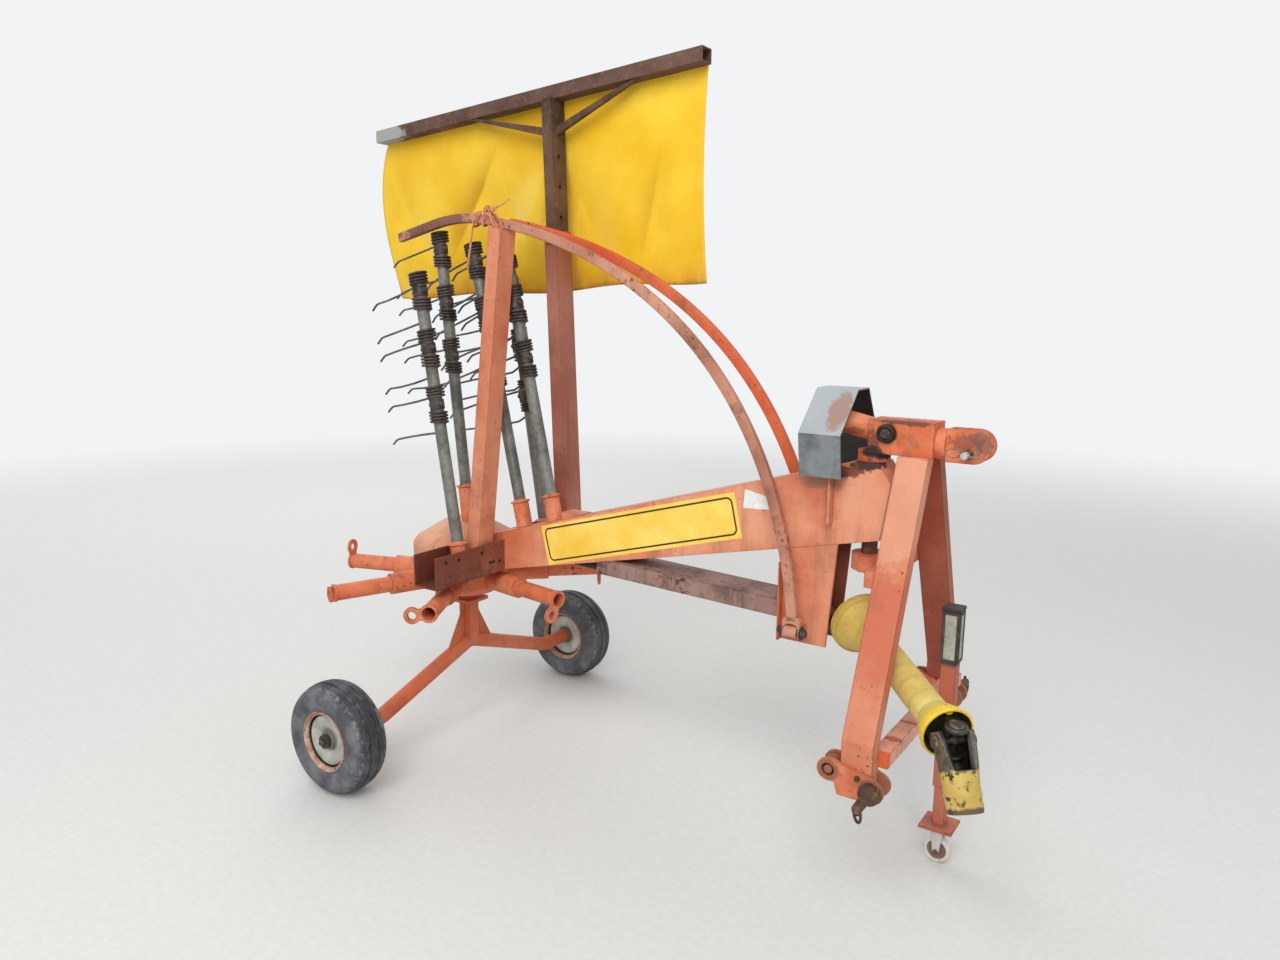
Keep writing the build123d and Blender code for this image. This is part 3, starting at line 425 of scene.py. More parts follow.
def rubberFinish(name):
    # weathered rubber: blue-grey side walls with road dust, pale scuffs on the shoulder rib, dark crown
    # with black grooves
    f = Finish(name)
    fromAxle = f.fromAxis(wheelAxle, (0, 1, 0))
    ragged = f.noise(20, 5, 0.65, shift=1)
    crown = f.step(fromAxle + (ragged - 0.5) * 0.012, 0.183, 0.194)
    clouds = f.noise(11, 6, 0.65)
    side = f.blend(f.step(clouds, 0.35, 0.7), tint("45474c"), tint("74757a"))
    tread = f.blend(f.step(clouds, 0.4, 0.7), tint("2f3035"), tint("5a5b60"))
    colour = f.blend(crown, side, tread)
    shoulder = f.step(fromAxle, 0.186, 0.191) * (1.0 - f.step(fromAxle, 0.194, 0.198))
    scuff = f.noise(60, 5, 0.7, shift=3)
    colour = f.blend(shoulder * f.step(scuff, 0.42, 0.62) * 0.55, colour, tint("93938f"))
    colour = f.cover(colour, scuff, 0.58, 0.72, "8b8a86", 0.4)
    band = 1.0 - f.step(fromAxle + (ragged - 0.5) * 0.02, 0.118, 0.13)
    colour = f.blend(band * 0.35, colour, tint("6e6a66"))
    return f.close(colour, 0.66 + scuff * 0.2, 0.0, scuff * 0.5 + f.noise(240, 3, 0.6) * 0.4, 0.0008)


def rimFinish(name):
    # silver dish, the deep gap round it painted near-black as shade, dusty pink rim band with rust, greasy
    # hub opening
    f = Finish(name)
    soft = f.edges(0.0025)[0]
    fromAxle = f.fromAxis(wheelAxle, (0, 1, 0))
    clouds = f.noise(14, 6, 0.66)
    fine = f.noise(70, 6, 0.72, shift=2)
    silver = f.blend(f.step(clouds, 0.35, 0.7), tint("9c9d93"), tint("c6c8bf"))
    silver = f.cover(silver, fine, 0.63, 0.74, "7c6b5b", 0.7)
    band = f.blend(f.step(clouds, 0.4, 0.65), tint("a87f6c"), tint("cfae9c"))
    band = f.cover(band, fine, 0.5, 0.68, "6c4433")
    # painted shade: the deep gap between the dish and the rim band is near-black
    colour = f.blend(f.step(fromAxle, 0.0912, 0.0926), silver, tint("241c18"))
    colour = f.blend(f.step(fromAxle, 0.0962, 0.0976), colour, band)
    hub = 1.0 - f.step(fromAxle + (fine - 0.5) * 0.012, 0.034, 0.046)
    colour = f.blend(hub * 0.75, colour, tint("5b5046"))
    return f.close(colour, 0.4 + fine * 0.25, 0.2, fine * 0.5, 0.0008, soft)


def guardFinish(name, look):
    # faded yellow plastic of the shaft guard: fine rings along the tube, dust and black grease
    f = Finish(name)
    soft, edge = f.edges(0.003)
    clouds = f.noise(7, 6, 0.65, shift=look["shift"])
    colour = f.blend(f.step(clouds, 0.35, 0.68), tint(look["deep"]), tint(look["pale"]))
    fine = f.noise(44, 6, 0.72, shift=look["shift"] + 2)
    colour = f.cover(colour, fine, 0.56, 0.72, look["dirt"], 0.7)
    run = f.along(tuple(fromRotor(guard["start"])), guard["axis"])
    rings = f.node("ShaderNodeMath", {"operation": "SINE"}, {0: run * look["rings"]})
    ringed = 1.0 - f.step(run, look["ringEnd"], look["ringEnd"] + 0.004)
    colour = f.blend(f.step(rings, 0.6, 1.0) * ringed * look["ringShade"], colour, tint(look["dirt"]))
    grease = f.step(fine + (clouds - 0.5) * 0.8, look["greaseAt"], look["greaseAt"] + 0.06)
    colour = spotted(f, f.blend(grease, colour, tint("2a2118")), look)
    if look["worn"]:
        colour = f.cover(colour, edge + (fine - 0.5) * 0.7, 0.2, 0.7, "b3a88e", look["worn"])
    height = fine * 0.3 + rings * ringed * look["ringHeight"]
    return f.close(colour, 0.5 + fine * 0.2, 0.0, height, 0.0012, soft)


def clothFinish(name):
    # yellow coated cloth: fine weave, sun-bleached clouds, painted crease shade and highlight, an orange,
    # muddy lower edge
    f = Finish(name)
    flow = f.node("ShaderNodeAttribute", {"attribute_name": "flow"}, {}, "Vector")
    across, down = f.part(flow, "X"), f.part(flow, "Y")
    clouds = f.noise(3.2, 6, 0.6)
    colour = f.blend(f.step(clouds, 0.35, 0.7), tint("eebb16"), tint("fad03a"))
    smudge = f.noise(9, 7, 0.7, stretch=(1, 1, 0.45), shift=4)
    colour = f.cover(colour, smudge, 0.56, 0.8, "c98f1c", 0.5)
    low = f.step(down + (smudge - 0.5) * 0.25, 0.86, 1.02)
    colour = f.blend(low * 0.75, colour, tint("d98e1f"))
    hem = f.step(down + (smudge - 0.5) * 0.1, 0.97, 1.0)
    colour = f.blend(hem * 0.5, colour, tint("8a5a1c"))
    lean = f.part(flow, "Z")
    # painted shade on creases that lean one way, painted highlight on those that lean the other
    colour = f.cover(colour, lean, 0.15, 1.4, "c58d08", 0.75)
    colour = f.cover(colour, 0.0 - lean, 0.15, 1.4, "ffe678", 0.5)
    spots = f.noise(80, 5, 0.7, shift=6)
    colour = f.cover(colour, spots, 0.66, 0.74, "9a7a2c", 0.5)
    warp = f.node("ShaderNodeMath", {"operation": "SINE"}, {0: across * 5200.0})
    weft = f.node("ShaderNodeMath", {"operation": "SINE"}, {0: down * 2400.0})
    return f.close(colour, 0.44 + smudge * 0.25, 0.0, (warp + weft) * 0.12 + smudge * 0.5, 0.0006,
                   Specular_IOR_Level=0.35)


def decalFinish(name, look):
    # yellow sign film with one black border line; its corners are rounded
    f = Finish(name)
    flow = f.node("ShaderNodeAttribute", {"attribute_name": "flow"}, {}, "Vector")
    inside = f.vector("SUBTRACT", f.vector("ABSOLUTE", flow, (0, 0, 0)), look["inner"])
    reach = f.vector("LENGTH", f.vector("MAXIMUM", inside, (0, 0, 0)), (0, 0, 0), 1)
    line = f.step(reach, look["corner"] - 0.0068, look["corner"] - 0.006)
    line = line - f.step(reach, look["corner"] - 0.0004, look["corner"] + 0.0003)
    clouds = f.noise(6, 6, 0.65)
    colour = f.blend(f.step(clouds, 0.35, 0.7), tint("f0c03c"), tint("fbd565"))
    fine = f.noise(85, 6, 0.7, shift=2)
    colour = f.cover(colour, fine, 0.6, 0.74, "a97f3a", 0.6)
    colour = f.blend(line * (1.0 - f.step(fine, 0.66, 0.74)), colour, tint("2b241a"))
    return f.close(colour, 0.38 + fine * 0.2, 0.0, fine, 0.0003)


def plainFinish(name, look):
    # moulded or worn plain colour: clouds of two tones, dirt in spots and along edges
    f = Finish(name)
    soft, edge = f.edges(0.002)
    clouds = f.noise(look["clouds"], 6, 0.65, shift=look["shift"])
    fine = f.noise(look["clouds"] * 6, 6, 0.72, shift=look["shift"] + 2)
    colour = f.blend(f.step(clouds, 0.35, 0.68), tint(look["one"]), tint(look["two"]))
    dirty = f.step(fine + edge * 0.12, look["dirtAt"], look["dirtAt"] + 0.12)
    colour = spotted(f, f.blend(dirty * 0.85, colour, tint(look["dirt"])), look)
    return f.close(colour, look["rough"] + fine * 0.2, 0.0, fine, 0.0007, soft)


# Places that finishes and pieces share, in mm from the rotor axis: where the guard begins, the castor's
# axle, and the front joint with the ways of its hanging yoke and of its level pins; finishes count from
# the joint's centre rounded to 0.1 mm. The wheels' axle is in metres.
guard = {"start": (1702, 0, 770), "axis": (0.683032, -0.707301, -0.182236)}
castorAxle = (1935.5, 122, 43)
wheelAxle = (rotorAxis, 0, 0.205)
joint = {"centre": (2091.33, -403.18, 666.12), "finishCentre": (2091.3, -403.2, 666.1),
         "hang": (0.3261, -0.3377, -0.8829), "level": (0.71934, 0.694658, 0)}


def opposite(direction):
    return tuple(-part for part in direction)


# Looks: the settings of each finish under its name. Every paint starts from the orange one.
orangeLook = {"fresh": "cc6a42", "faded": "e09a78", "dark": "a55a3c", "grime": "6b4634", "rust": "7a4127",
              "rustDark": "43261b", "clouds": 2.4, "shift": 0.0, "drift": 0.5, "streaks": 0.3, "chips": 0.74,
              "edges": 0.42}
paintLooks = {
    "beamPaint": {"streaks": 0.4, "marks": (
        patch((1706, -50, 1290), (58, 60, 24), "231812", 0.95),
        patch((1650, -58, 1264), (50, 20, 22), "57291c", 0.85, 3.0, 36),
        patch((1560, -58, 1222), (90, 20, 26), "8f6a5c", 0.6, 2.4, 20),
        patch((900, 0, 1095), (900, 50, 300), "8f5b45", 0.35, 2.4, 9))},
    "axlePaint": {"shift": 3.0, "fresh": "bd5630", "faded": "cb744d", "chips": 0.71, "drift": 0.6, "marks": (
        beyond((0, 0, 205), (0, 1, 0), 0.722, 0.724, "3c312a"),
        beyond((0, 0, 205), (0, -1, 0), 0.722, 0.724, "3c312a"),
        beyond((0, 0, 545), (0, 0, 1), 0.02, 0.03, "5a3526", 0.7))},
    "rotorPaint": {"shift": 6.0, "fresh": "cd6238", "faded": "da8259", "chips": 0.68, "drift": 0.75,
                   "clouds": 5.0, "streaks": 0.5},
    "domePaint": {"shift": 8.0, "fresh": "c47a56", "faded": "d29a7a", "chips": 0.76},
    "legPaint": {"shift": 11.0, "fresh": "c06443", "faded": "cf8765", "chips": 0.735, "edges": 0.62,
                 "round": 0.006, "marks": (
        patch((1842, -430, 440), (70, 80, 90), "8f4c34", 0.7),
        # painted light: the upper leg, which faces the sky, is made lighter
        patch((1800, -140, 1230), (120, 200, 260), "d99b7c", 0.55, 1.6, 14),
        patch((1842, -60, 1318), (60, 30, 9), "d8a184", 0.7))},
    # painted shade: a darker copy of the leg paint for the left leg, which stands in shade
    "paintedShadeLegPaint": {"shift": 12.0, "fresh": "9c4730", "faded": "b3674c", "chips": 0.71, "edges": 0.6,
                      "round": 0.006},
    "neckPaint": {"shift": 14.0, "fresh": "cd6236", "faded": "e08a62", "dark": "7a4530", "drift": 0.6,
                  "chips": 0.7, "clouds": 6.0, "marks": (
        patch((1712, -50, 1346), (30, 30, 44), "6b3423", 0.85, 3.2, 44),
        patch((1722, 0, 1326), (52, 90, 26), "1b1410", 0.95, 2.2, 30),
        patch((1800, -50, 1420), (90, 60, 12), "4a3327", 0.8, 2.6, 36),
        nearLine((1754, 0, 1384), (0, 1, 0), 0.027, 0.033, "1c1612", 0.95, 0.012),
        patch((1640, -20, 1380), (52, 60, 14), "7a3a26", 0.6),
        patch((2020, -40, 1380), (34, 70, 40), "80594a", 0.8, 3.0, 34),
        patch((1978, -40, 1372), (50, 60, 30), "6f4434", 0.6, 3.6, 60))},
    "footPaint": {"shift": 15.0, "fresh": "c4613c", "faded": "dc8a66", "dark": "7a4a36", "drift": 0.7,
                  "chips": 0.68, "clouds": 6.0, "marks": (
        nearLine((1765, 0, 493), (0, 1, 0), 0.026, 0.036, "6a4636", 0.7, 0.02),
        nearLine((1889, 0, 462), (0, 1, 0), 0.03, 0.042, "7b5844", 0.75, 0.024))},
    "crossbarPaint": {"shift": 16.0, "fresh": "d0836a", "faded": "e3ad97", "chips": 0.7, "marks": (
        patch((1889, -250, 552), (30, 16, 12), "b4492c", 0.9),
        patch((1889, -120, 552), (40, 12, 12), "a9482f", 0.8),
        beyond((1889, 0, 532), (0, -1, 0), 0.335, 0.341, "d2642f"))},
    "jackPaint": {"shift": 18.0, "fresh": "a94e36", "faded": "b96a50", "chips": 0.7, "marks": (
        beyond((1935, 122, 672), (0, 0, 1), -0.02, 0.004, "4b3a31", 0.96, 0.012),
        beyond((1935, 122, 840), (0, 0, 1), -0.002, 0.001, "35302c", 0.97),
        patch((1935, 122, 124), (60, 60, 16), "8a5240", 0.6, 1.0, 40))},
    "nearHoopPaint": {"shift": 17.0, "fresh": "a86a52", "faded": "c68d74", "dark": "6f4535", "drift": 0.9,
                      "chips": 0.67, "marks": (
        # the faces that look down are made darker: painted shade
        patch((-80, -66, 2055), (230, 40, 70), "63392d", 0.8), facing((-0.3, 0, -0.95), 0.6, "59352a", 0.7))},
    "farHoopPaint": {"shift": 20.0, "fresh": "c84a20", "faded": "d4683c", "dark": "8f5138", "chips": 0.68,
                     "drift": 0.8},
    "postPaint": {"shift": 23.0, "fresh": "c06543", "faded": "d88c6b", "dark": "8e4f38", "chips": 0.73},
    "armBoxPaint": {"shift": 26.0, "fresh": "93523f", "faded": "ab6d5a", "dark": "6b3a2d", "grime": "4a2a20",
                    "chips": 0.72},
    # on the left cheek plate, whose inner face lies in shadow, this dark brown is painted shade
    "channelPaintAndCheekShade": {"shift": 29.0, "fresh": "6e3424", "faded": "8d4f3a", "dark": "45241a", "grime": "38211a",
                     "chips": 0.66, "drift": 0.8},
    "troughPaint": {"shift": 32.0, "fresh": "745048", "faded": "9b7a6f", "dark": "43261f", "grime": "352420",
                    "rust": "6a3b2a", "chips": 0.62, "streaks": 0.9, "drift": 0.7, "stretch": (1, 1, 0.25)},
}
hoodFront = (0, -0.69, 0.71)  # the way the hood's lit slope looks


def lookTable(keys, rows):
    # the settings of each row by their keys; marks may stand at a row's end
    return {name: dict(zip((*keys, "marks"), row)) for name, row in rows.items()}


zincLooks = lookTable(("dull", "bright", "stain", "rust", "spangle", "shift", "streaks", "rustAt"), {
    "zincTube": ("5c5c56", "84847d", "54493f", "664532", 90, 1.0, 0.6, 0.72),
    "zincSheet": ("63696b", "878d8f", "5b5a56", "7b4a33", 60, 4.0, 0.4, 0.78, (
        # painted light: faces on the hood's lit slope and faces that look up are made lighter
        facing(hoodFront, 0.7, "b4bbbf", 0.72), facing((0, 0, 1), 0.9, "b6b8b7", 0.6),
        both(patch((1614, -78, 1440), (38, 84, 84), "97695a", 0.92, 1.3, 24),
             facing(hoodFront, 0.7, "a27f70")),
        # painted shade: faces inside the hood, looking towards its middle, are near-black
        inward((1582, 0, 1375), "1c1a18", 0.9))),
    "zincFork": ("b5b6ae", "dcddd6", "77684f", "6b452e", 60, 9.0, 0.6, 0.62),
})
rustKeys = ("dark", "mid", "light", "steel", "clouds", "shift", "flakes", "worn", "rough", "metal")
rustLooks = lookTable(rustKeys, {
    "coilSteel": ("2b2320", "51453f", "8f857d", "a79e96", 12, 1.0, 0.4, 0.5, 0.42, 0.35),
    "tineSteel": ("3a2f29", "6b6158", "9d958c", "b0a89f", 9, 2.0, 0.6, 0.4, 0.4, 0.45),
    "rustySteel": ("3b271d", "664936", "8c6b54", "8c7a6c", 6, 3.0, 0.7, 0.3, 0.7, 0.05),
    "barSteel": ("4a3027", "6a4d41", "8f6f5c", "857468", 5, 5.0, 0.6, 0.3, 0.68, 0.05, (
        patch((-560, 115, 2446), (150, 90, 50), "a6a9a6", 0.85, 1.6, 22),)),
    "greasySteel": ("17130f", "35291f", "5f503f", "6d6356", 14, 7.0, 0.4, 0.3, 0.34, 0.25),
    "yokeSteel": ("1d1814", "4b4238", "8b7f66", "b5aa90", 20, 11.0, 0.8, 0.95, 0.34, 0.2, (
        nearLine(joint["finishCentre"], joint["hang"], 0.04, 0.044, "120e0b", 0.92, 0.01),)),
    "capSteel": ("2a2219", "6a5c46", "c9b25c", "9b8f7a", 22, 12.0, 0.8, 0.4, 0.42, 0.15),
    "boltSteel": ("33271f", "5c4a3e", "8e8176", "a59b90", 20, 9.0, 0.5, 0.7, 0.45, 0.4),
})
# rings go on to ringEnd, metres along the guard's axis; 9.0 lies past its end
collarEdge = (guard["start"], guard["axis"], 0.0652, 0.0657, "2c2318", 0.93)
guardKeys = ("deep", "pale", "dirt", "rings", "ringShade", "ringHeight", "ringEnd", "worn", "greaseAt",
             "shift")
guardLooks = lookTable(guardKeys, {
    "guardBell": ("b8963a", "cfb25a", "8a7230", 900.0, 0.4, 0.5, -0.012, 0, 0.8, 1.0),
    "guardTube": ("cdb55c", "dfcb80", "a8925a", 96.0, 0.3, 0.15, 9.0, 0, 0.79, 4.0),
    "guardCollar": ("cfa826", "e6c63e", "97803a", 1.0, 0.0, 0.0, 9.0, 0, 0.72, 5.0, (
        beyond(guard["start"], opposite(guard["axis"]), -0.503, -0.5, "cdba68", 0.94),
        both(facing(guard["axis"], 0.15, "2c2318"), nearLine(*collarEdge, 0.004)),
        both(beyond(guard["start"], guard["axis"], 0.517, 0.519, "2c2318"), nearLine(*collarEdge, 0.002)))),
    "flakedYoke": ("b99a4a", "d3b660", "7d6230", 1.0, 0.0, 0.0, 9.0, 0.9, 0.53, 7.0, (
        beyond(joint["finishCentre"], opposite(joint["hang"]), -0.08, -0.072, "3f372c", 0.9, 0.05),
        beyond(joint["finishCentre"], joint["hang"], 0.158, 0.166, "4a3425", 0.9, 0.02))),
})
plainLooks = lookTable(("one", "two", "dirt", "clouds", "shift", "dirtAt", "rough"), {
    "guardRim": ("dcb522", "f0cd3a", "5f4a1f", 30, 6.0, 0.62, 0.45),
    "panelPaint": ("8d9184", "b3b7aa", "5f5a4c", 16, 8.0, 0.56, 0.5),
    "jackEdge": ("352e29", "56493f", "7a4a36", 24, 10.0, 0.62, 0.6),
    # painted shade: near-black discs and a slot that stand for holes in the cross channel
    "paintedHoleShade": ("17110e", "2a1f1a", "4b352b", 40, 14.0, 0.7, 0.8),
    "twine": ("c9774f", "e3a27e", "f0dcc8", 60, 12.0, 0.6, 0.75),
    "castorWhite": ("cbbfae", "e2dacb", "6b4a32", 22, 2.0, 0.6, 0.5, (
        nearLine(castorAxle, (0, 1, 0), 0.0285, 0.032, "644327", 0.85, 0.008),)),
    "paleSticker": ("d8d6d2", "ebe9e6", "a39a90", 30, 4.0, 0.66, 0.4),
})
finishes = {"rubber": rubberFinish("rubber"), "rim": rimFinish("rim"), "cloth": clothFinish("cloth")}
for makeFinish, shared, looks in ((paintFinish, orangeLook, paintLooks), (zincFinish, {}, zincLooks),
                                  (rustFinish, {}, rustLooks), (guardFinish, {}, guardLooks),
                                  (plainFinish, {}, plainLooks)):
    for name, look in looks.items():
        finishes[name] = makeFinish(name, {**shared, **look})
print("paints, steels, plastics, rubber and cloth ready")

# the CAD nodes of each finish; the others are zinc tube
finishNodes = {
    "armBoxPaint": "curtain_arm_box",
    "axlePaint": "axle_and_mast",
    "barSteel": "curtain_bar",
    "beamPaint": "cheek_plate_right main_beam",
    "castorWhite": "castor_wheel",
    # the left cheek plate takes the dark brown paint: painted shade, as its inner face lies in shadow
    "channelPaintAndCheekShade": "cheek_plate_left cross_channel_left cross_channel_right input_bearing",
    "cloth": "curtain",
    "crossbarPaint": "lower_crossbar",
    "domePaint": "gear_dome",
    "farHoopPaint": "guard_hoop_left",
    "flakedYoke": "shaft_front_yoke",
    "footPaint": "hitch_foot_left hitch_foot_right mid_crossbar",
    "greasySteel": "drive_shaft hitch_pin_left input_yoke shaft_cross_front shaft_cross_rear "
                   "shaft_inner_tube",
    "guardBell": "shaft_guard_cone",
    "guardCollar": "shaft_guard_collar",
    "guardTube": "shaft_guard_tube",
    "jackPaint": "jack_leg jack_sleeve",
    "legPaint": "headstock_leg_right",
    "nearHoopPaint": "guard_hoop_right hoop_lugs",
    "neckPaint": "arm_sockets headstock_neck top_link_yoke",
    "postPaint": "hoop_post",
    "rim": "wheel_rim_left wheel_rim_right",
    "rotorPaint": "rotor_with_arm_tubes",
    "rustySteel": "curtain_arm_tube curtain_stays hitch_pin_right swivel_pin top_link_pin twine_tail",
    # the left leg takes the darker copy of the leg paint: painted shade
    "paintedShadeLegPaint": "headstock_leg_left",
    "troughPaint": "shaft_trough",
    "zincFork": "castor_fork",
    "zincSheet": "hood",
}
nodeFinish = {name: finish for finish, names in finishNodes.items() for name in names.split()}
for name, node in nodes.items():
    for slot in node.material_slots:
        slot.material = finishes[nodeFinish.get(name, "zincTube")]

# half: how far the wall may swell from the tyre's middle; wallEnd and beadOut: where the wall and the bead
# end, out from the middle; rings: (radius, height) of the raised rings on the wall
tyre = {"radius": 0.205, "half": 0.075, "seat": 0.1003, "middle": 0.676, "grooves": (-0.0185, 0.0185),
        "grooveWidth": 0.0048, "grooveDepth": 0.0085, "crown": 0.05, "crownDrop": 0.011, "wallRadius": 0.1125,
        "wallEnd": 0.0605, "beadOut": 0.0555, "swell": 0.0165, "rings": ((0.176, 0.0012), (0.124, 0.0016)),
        "ringWidth": 0.0024, "steps": 120}


def tyreProfile():
    # round crown with two deep grooves pressed in, a sharp rib at each shoulder, swelling side walls
    # with two raised rings, and the beads down to the seat; (radius, across), bead to bead
    across = np.linspace(-tyre["crown"], tyre["crown"], 85)
    crown = tyre["radius"] - tyre["crownDrop"] * (np.abs(across) / tyre["crown"]) ** 2.1
    for middle in tyre["grooves"]:
        crown = crown - tyre["grooveDepth"] * np.exp(-((across - middle) / tyre["grooveWidth"]) ** 6)
    turn = np.linspace(0, 1, 40)[1:]
    sideRadius = crown[-1] - 0.002 + (tyre["wallRadius"] - crown[-1]) * turn
    bulge = np.sin(np.pi * np.clip(turn * 1.02, 0, 1) ** 0.62)
    sideAcross = tyre["crown"] + (tyre["wallEnd"] - tyre["crown"]) * turn ** 0.5 + tyre["swell"] * bulge
    for ring, height in tyre["rings"]:
        sideAcross = sideAcross + height * np.exp(-((sideRadius - ring) / tyre["ringWidth"]) ** 2)
    wall = np.stack([sideRadius, np.minimum(sideAcross, tyre["half"])], -1)
    right = np.vstack([wall, (tyre["seat"], tyre["beadOut"])])
    return np.vstack([right[::-1] * (1, -1), np.stack([crown, across], -1), right])


for side, name in ((1, "left"), (-1, "right")):
    shape = Shape()
    middle = (rotorAxis, side * tyre["middle"], tyre["radius"])
    lathe(shape, tyreProfile(), middle, (0, 1, 0), tyre["steps"], closed=True)
    shape.make("ribbedTyre_" + name, "wheel_" + name, ["rubber"], 34, ["tyre_" + name])
print("tyres")

# (radius, out from the wheel's middle) of the rim in mm: outer flange, gap, dish, hub and back
rimLine = ((112.2, 60.5), (112.2, 64.5), (110.4, 66.0), (107.5, 65.0), (104.5, 61.0), (102.0, 58.5),
           (97.8, 57.0), (96.6, 50.0), (95.8, 37.0), (94.2, 35.5), (92.8, 38.0), (92.0, 44.0),
           (90.2, 47.2), (86.0, 49.0), (78.0, 50.4), (68.0, 50.0), (58.0, 47.6), (49.0, 43.4),
           (42.0, 38.6), (37.0, 36.6), (34.2, 38.0), (33.2, 41.0), (33.0, 46.6), (31.8, 48.0),
           (17.0, 48.0), (17.0, -48.0), (32.0, -48.0), (33.0, -46.8), (33.0, -34.0), (40.0, -37.5),
           (54.0, -43.0), (72.0, -46.0), (86.0, -45.0), (91.5, -41.0), (94.5, -37.0), (96.4, -45.0),
           (98.0, -53.0), (102.0, -57.0), (107.5, -64.0), (111.0, -66.0), (112.2, -64.0), (112.2, -60.5),
           (107.0, -59.0), (100.0, -53.5), (100.0, 53.5), (107.0, 59.0))
# face: how far out from the wheel's middle; thread: the axle's end in the nut, (radius, out) in metres
axleNut = {"face": 0.0638, "radius": 0.0135, "height": 0.011,
           "thread": ((0, 0), (0.0075, 0), (0.0075, 0.0145), (0.0062, 0.0158), (0, 0.0158))}


def rimPiece(side, name):
    out = (0, side, 0)
    hub = np.array((rotorAxis, side * tyre["middle"], tyre["radius"]))
    shape = Shape()
    lathe(shape, np.array(rimLine) / 1000, hub, out, 96, closed=True)
    shape.make("dishedRim_" + name, "wheel_" + name, ["rim"], 32, ["wheel_rim_" + name])
    nut = Shape()
    face = hub + (0, side * axleNut["face"], 0)
    prism(nut, ringOutline(axleNut["radius"], 6, 0.3), face, (1, 0, 0), out, axleNut["height"], 0.0015)
    lathe(nut, axleNut["thread"], face, out, 18)
    nut.make("axleNut_" + name, "frame", ["boltSteel"], 30)


for side, name in ((1, "left"), (-1, "right")):
    rimPiece(side, name)
print("rims")

# tube: its radius, wall, length and where its bore ends; coil: radius of the wire's middle line; apart: the
# two coils of a pair; step: the pairs; below: the first pair under the tube's top; all in metres
tineArm = {"tube": 0.0225, "wall": 0.0035, "length": 1.0, "bore": 0.94, "coil": 0.03075, "wire": 0.0047,
           "tip": 0.0042, "turns": 3.75, "turnSteps": 22, "pitch": 0.0114, "apart": 0.092, "step": 0.208,
           "pairs": 3, "below": 0.062, "flange": 0.038, "flangeThick": 0.007, "clamp": (0.022, 0.05),
           "clampThick": 0.0145, "bolt": 0.0085, "nut": 0.0095,
           "reach": (0.016, 0.05, 0.09, 0.1, 0.112, 0.22, 0.34, 0.434, 0.448, 0.46, 0.49),
           "drop": (0.004, 0.018, 0.0345, 0.0375, 0.039, 0.043, 0.047, 0.05, 0.0525, 0.0565, 0.069)}
# foot x, y, z and top x, y, z in mm from the rotor axis, and the tines' heading in degrees
storedArms = (
    (200.0, -250.0, 868.0, 45.0, -262.0, 1860.0, 164.5),
    (0.0, 0.0, 1030.0, -108.0, 0.0, 2020.0, 164.5),
    (292.0, 0.0, 1000.0, 65.0, 4.0, 1980.0, 164.5),
    (446.0, 0.0, 1040.0, 222.0, 4.0, 2020.0, 164.5),
    (200.0, 250.0, 868.0, 52.0, 240.0, 1860.0, 177.0),
)


def armFrame(row):
    base, top = fromRotor(row[:3]), fromRotor(row[3:6])
    along = unit(top - base)
    turn = np.radians(row[6])
    heading = np.array([np.cos(turn), np.sin(turn), 0])
    out = unit(heading - along * heading.dot(along))
    return base, out, np.cross(along, out), along


def springWire(way, bend):
    # the wire of one tine: up from the clamp, a helix about the tube that climbs away from the clamp,
    # then off along the tangent, with two bends and a turned-down tip; local x out, y side, z along
    coil, turns, pitch = tineArm["coil"], tineArm["turns"], tineArm["pitch"]
    half = tineArm["apart"] / 2 - turns * pitch / 2
    link = np.stack([np.full(4, coil), np.zeros(4), way * np.linspace(0.004, half - 0.004, 4)], -1)
    angle = np.linspace(0.1, 2 * np.pi * turns, int(turns * tineArm["turnSteps"]))
    rise = half + pitch * angle / (2 * np.pi)
    helix = np.stack([coil * np.cos(angle), coil * np.sin(angle), way * rise], -1)
    drop = np.array(tineArm["drop"])
    drop[5:7] += bend
    tine = np.stack([tineArm["reach"], np.full(len(drop), -coil), way * rise[-1] - drop], -1)
    return np.vstack([link, helix, tine])


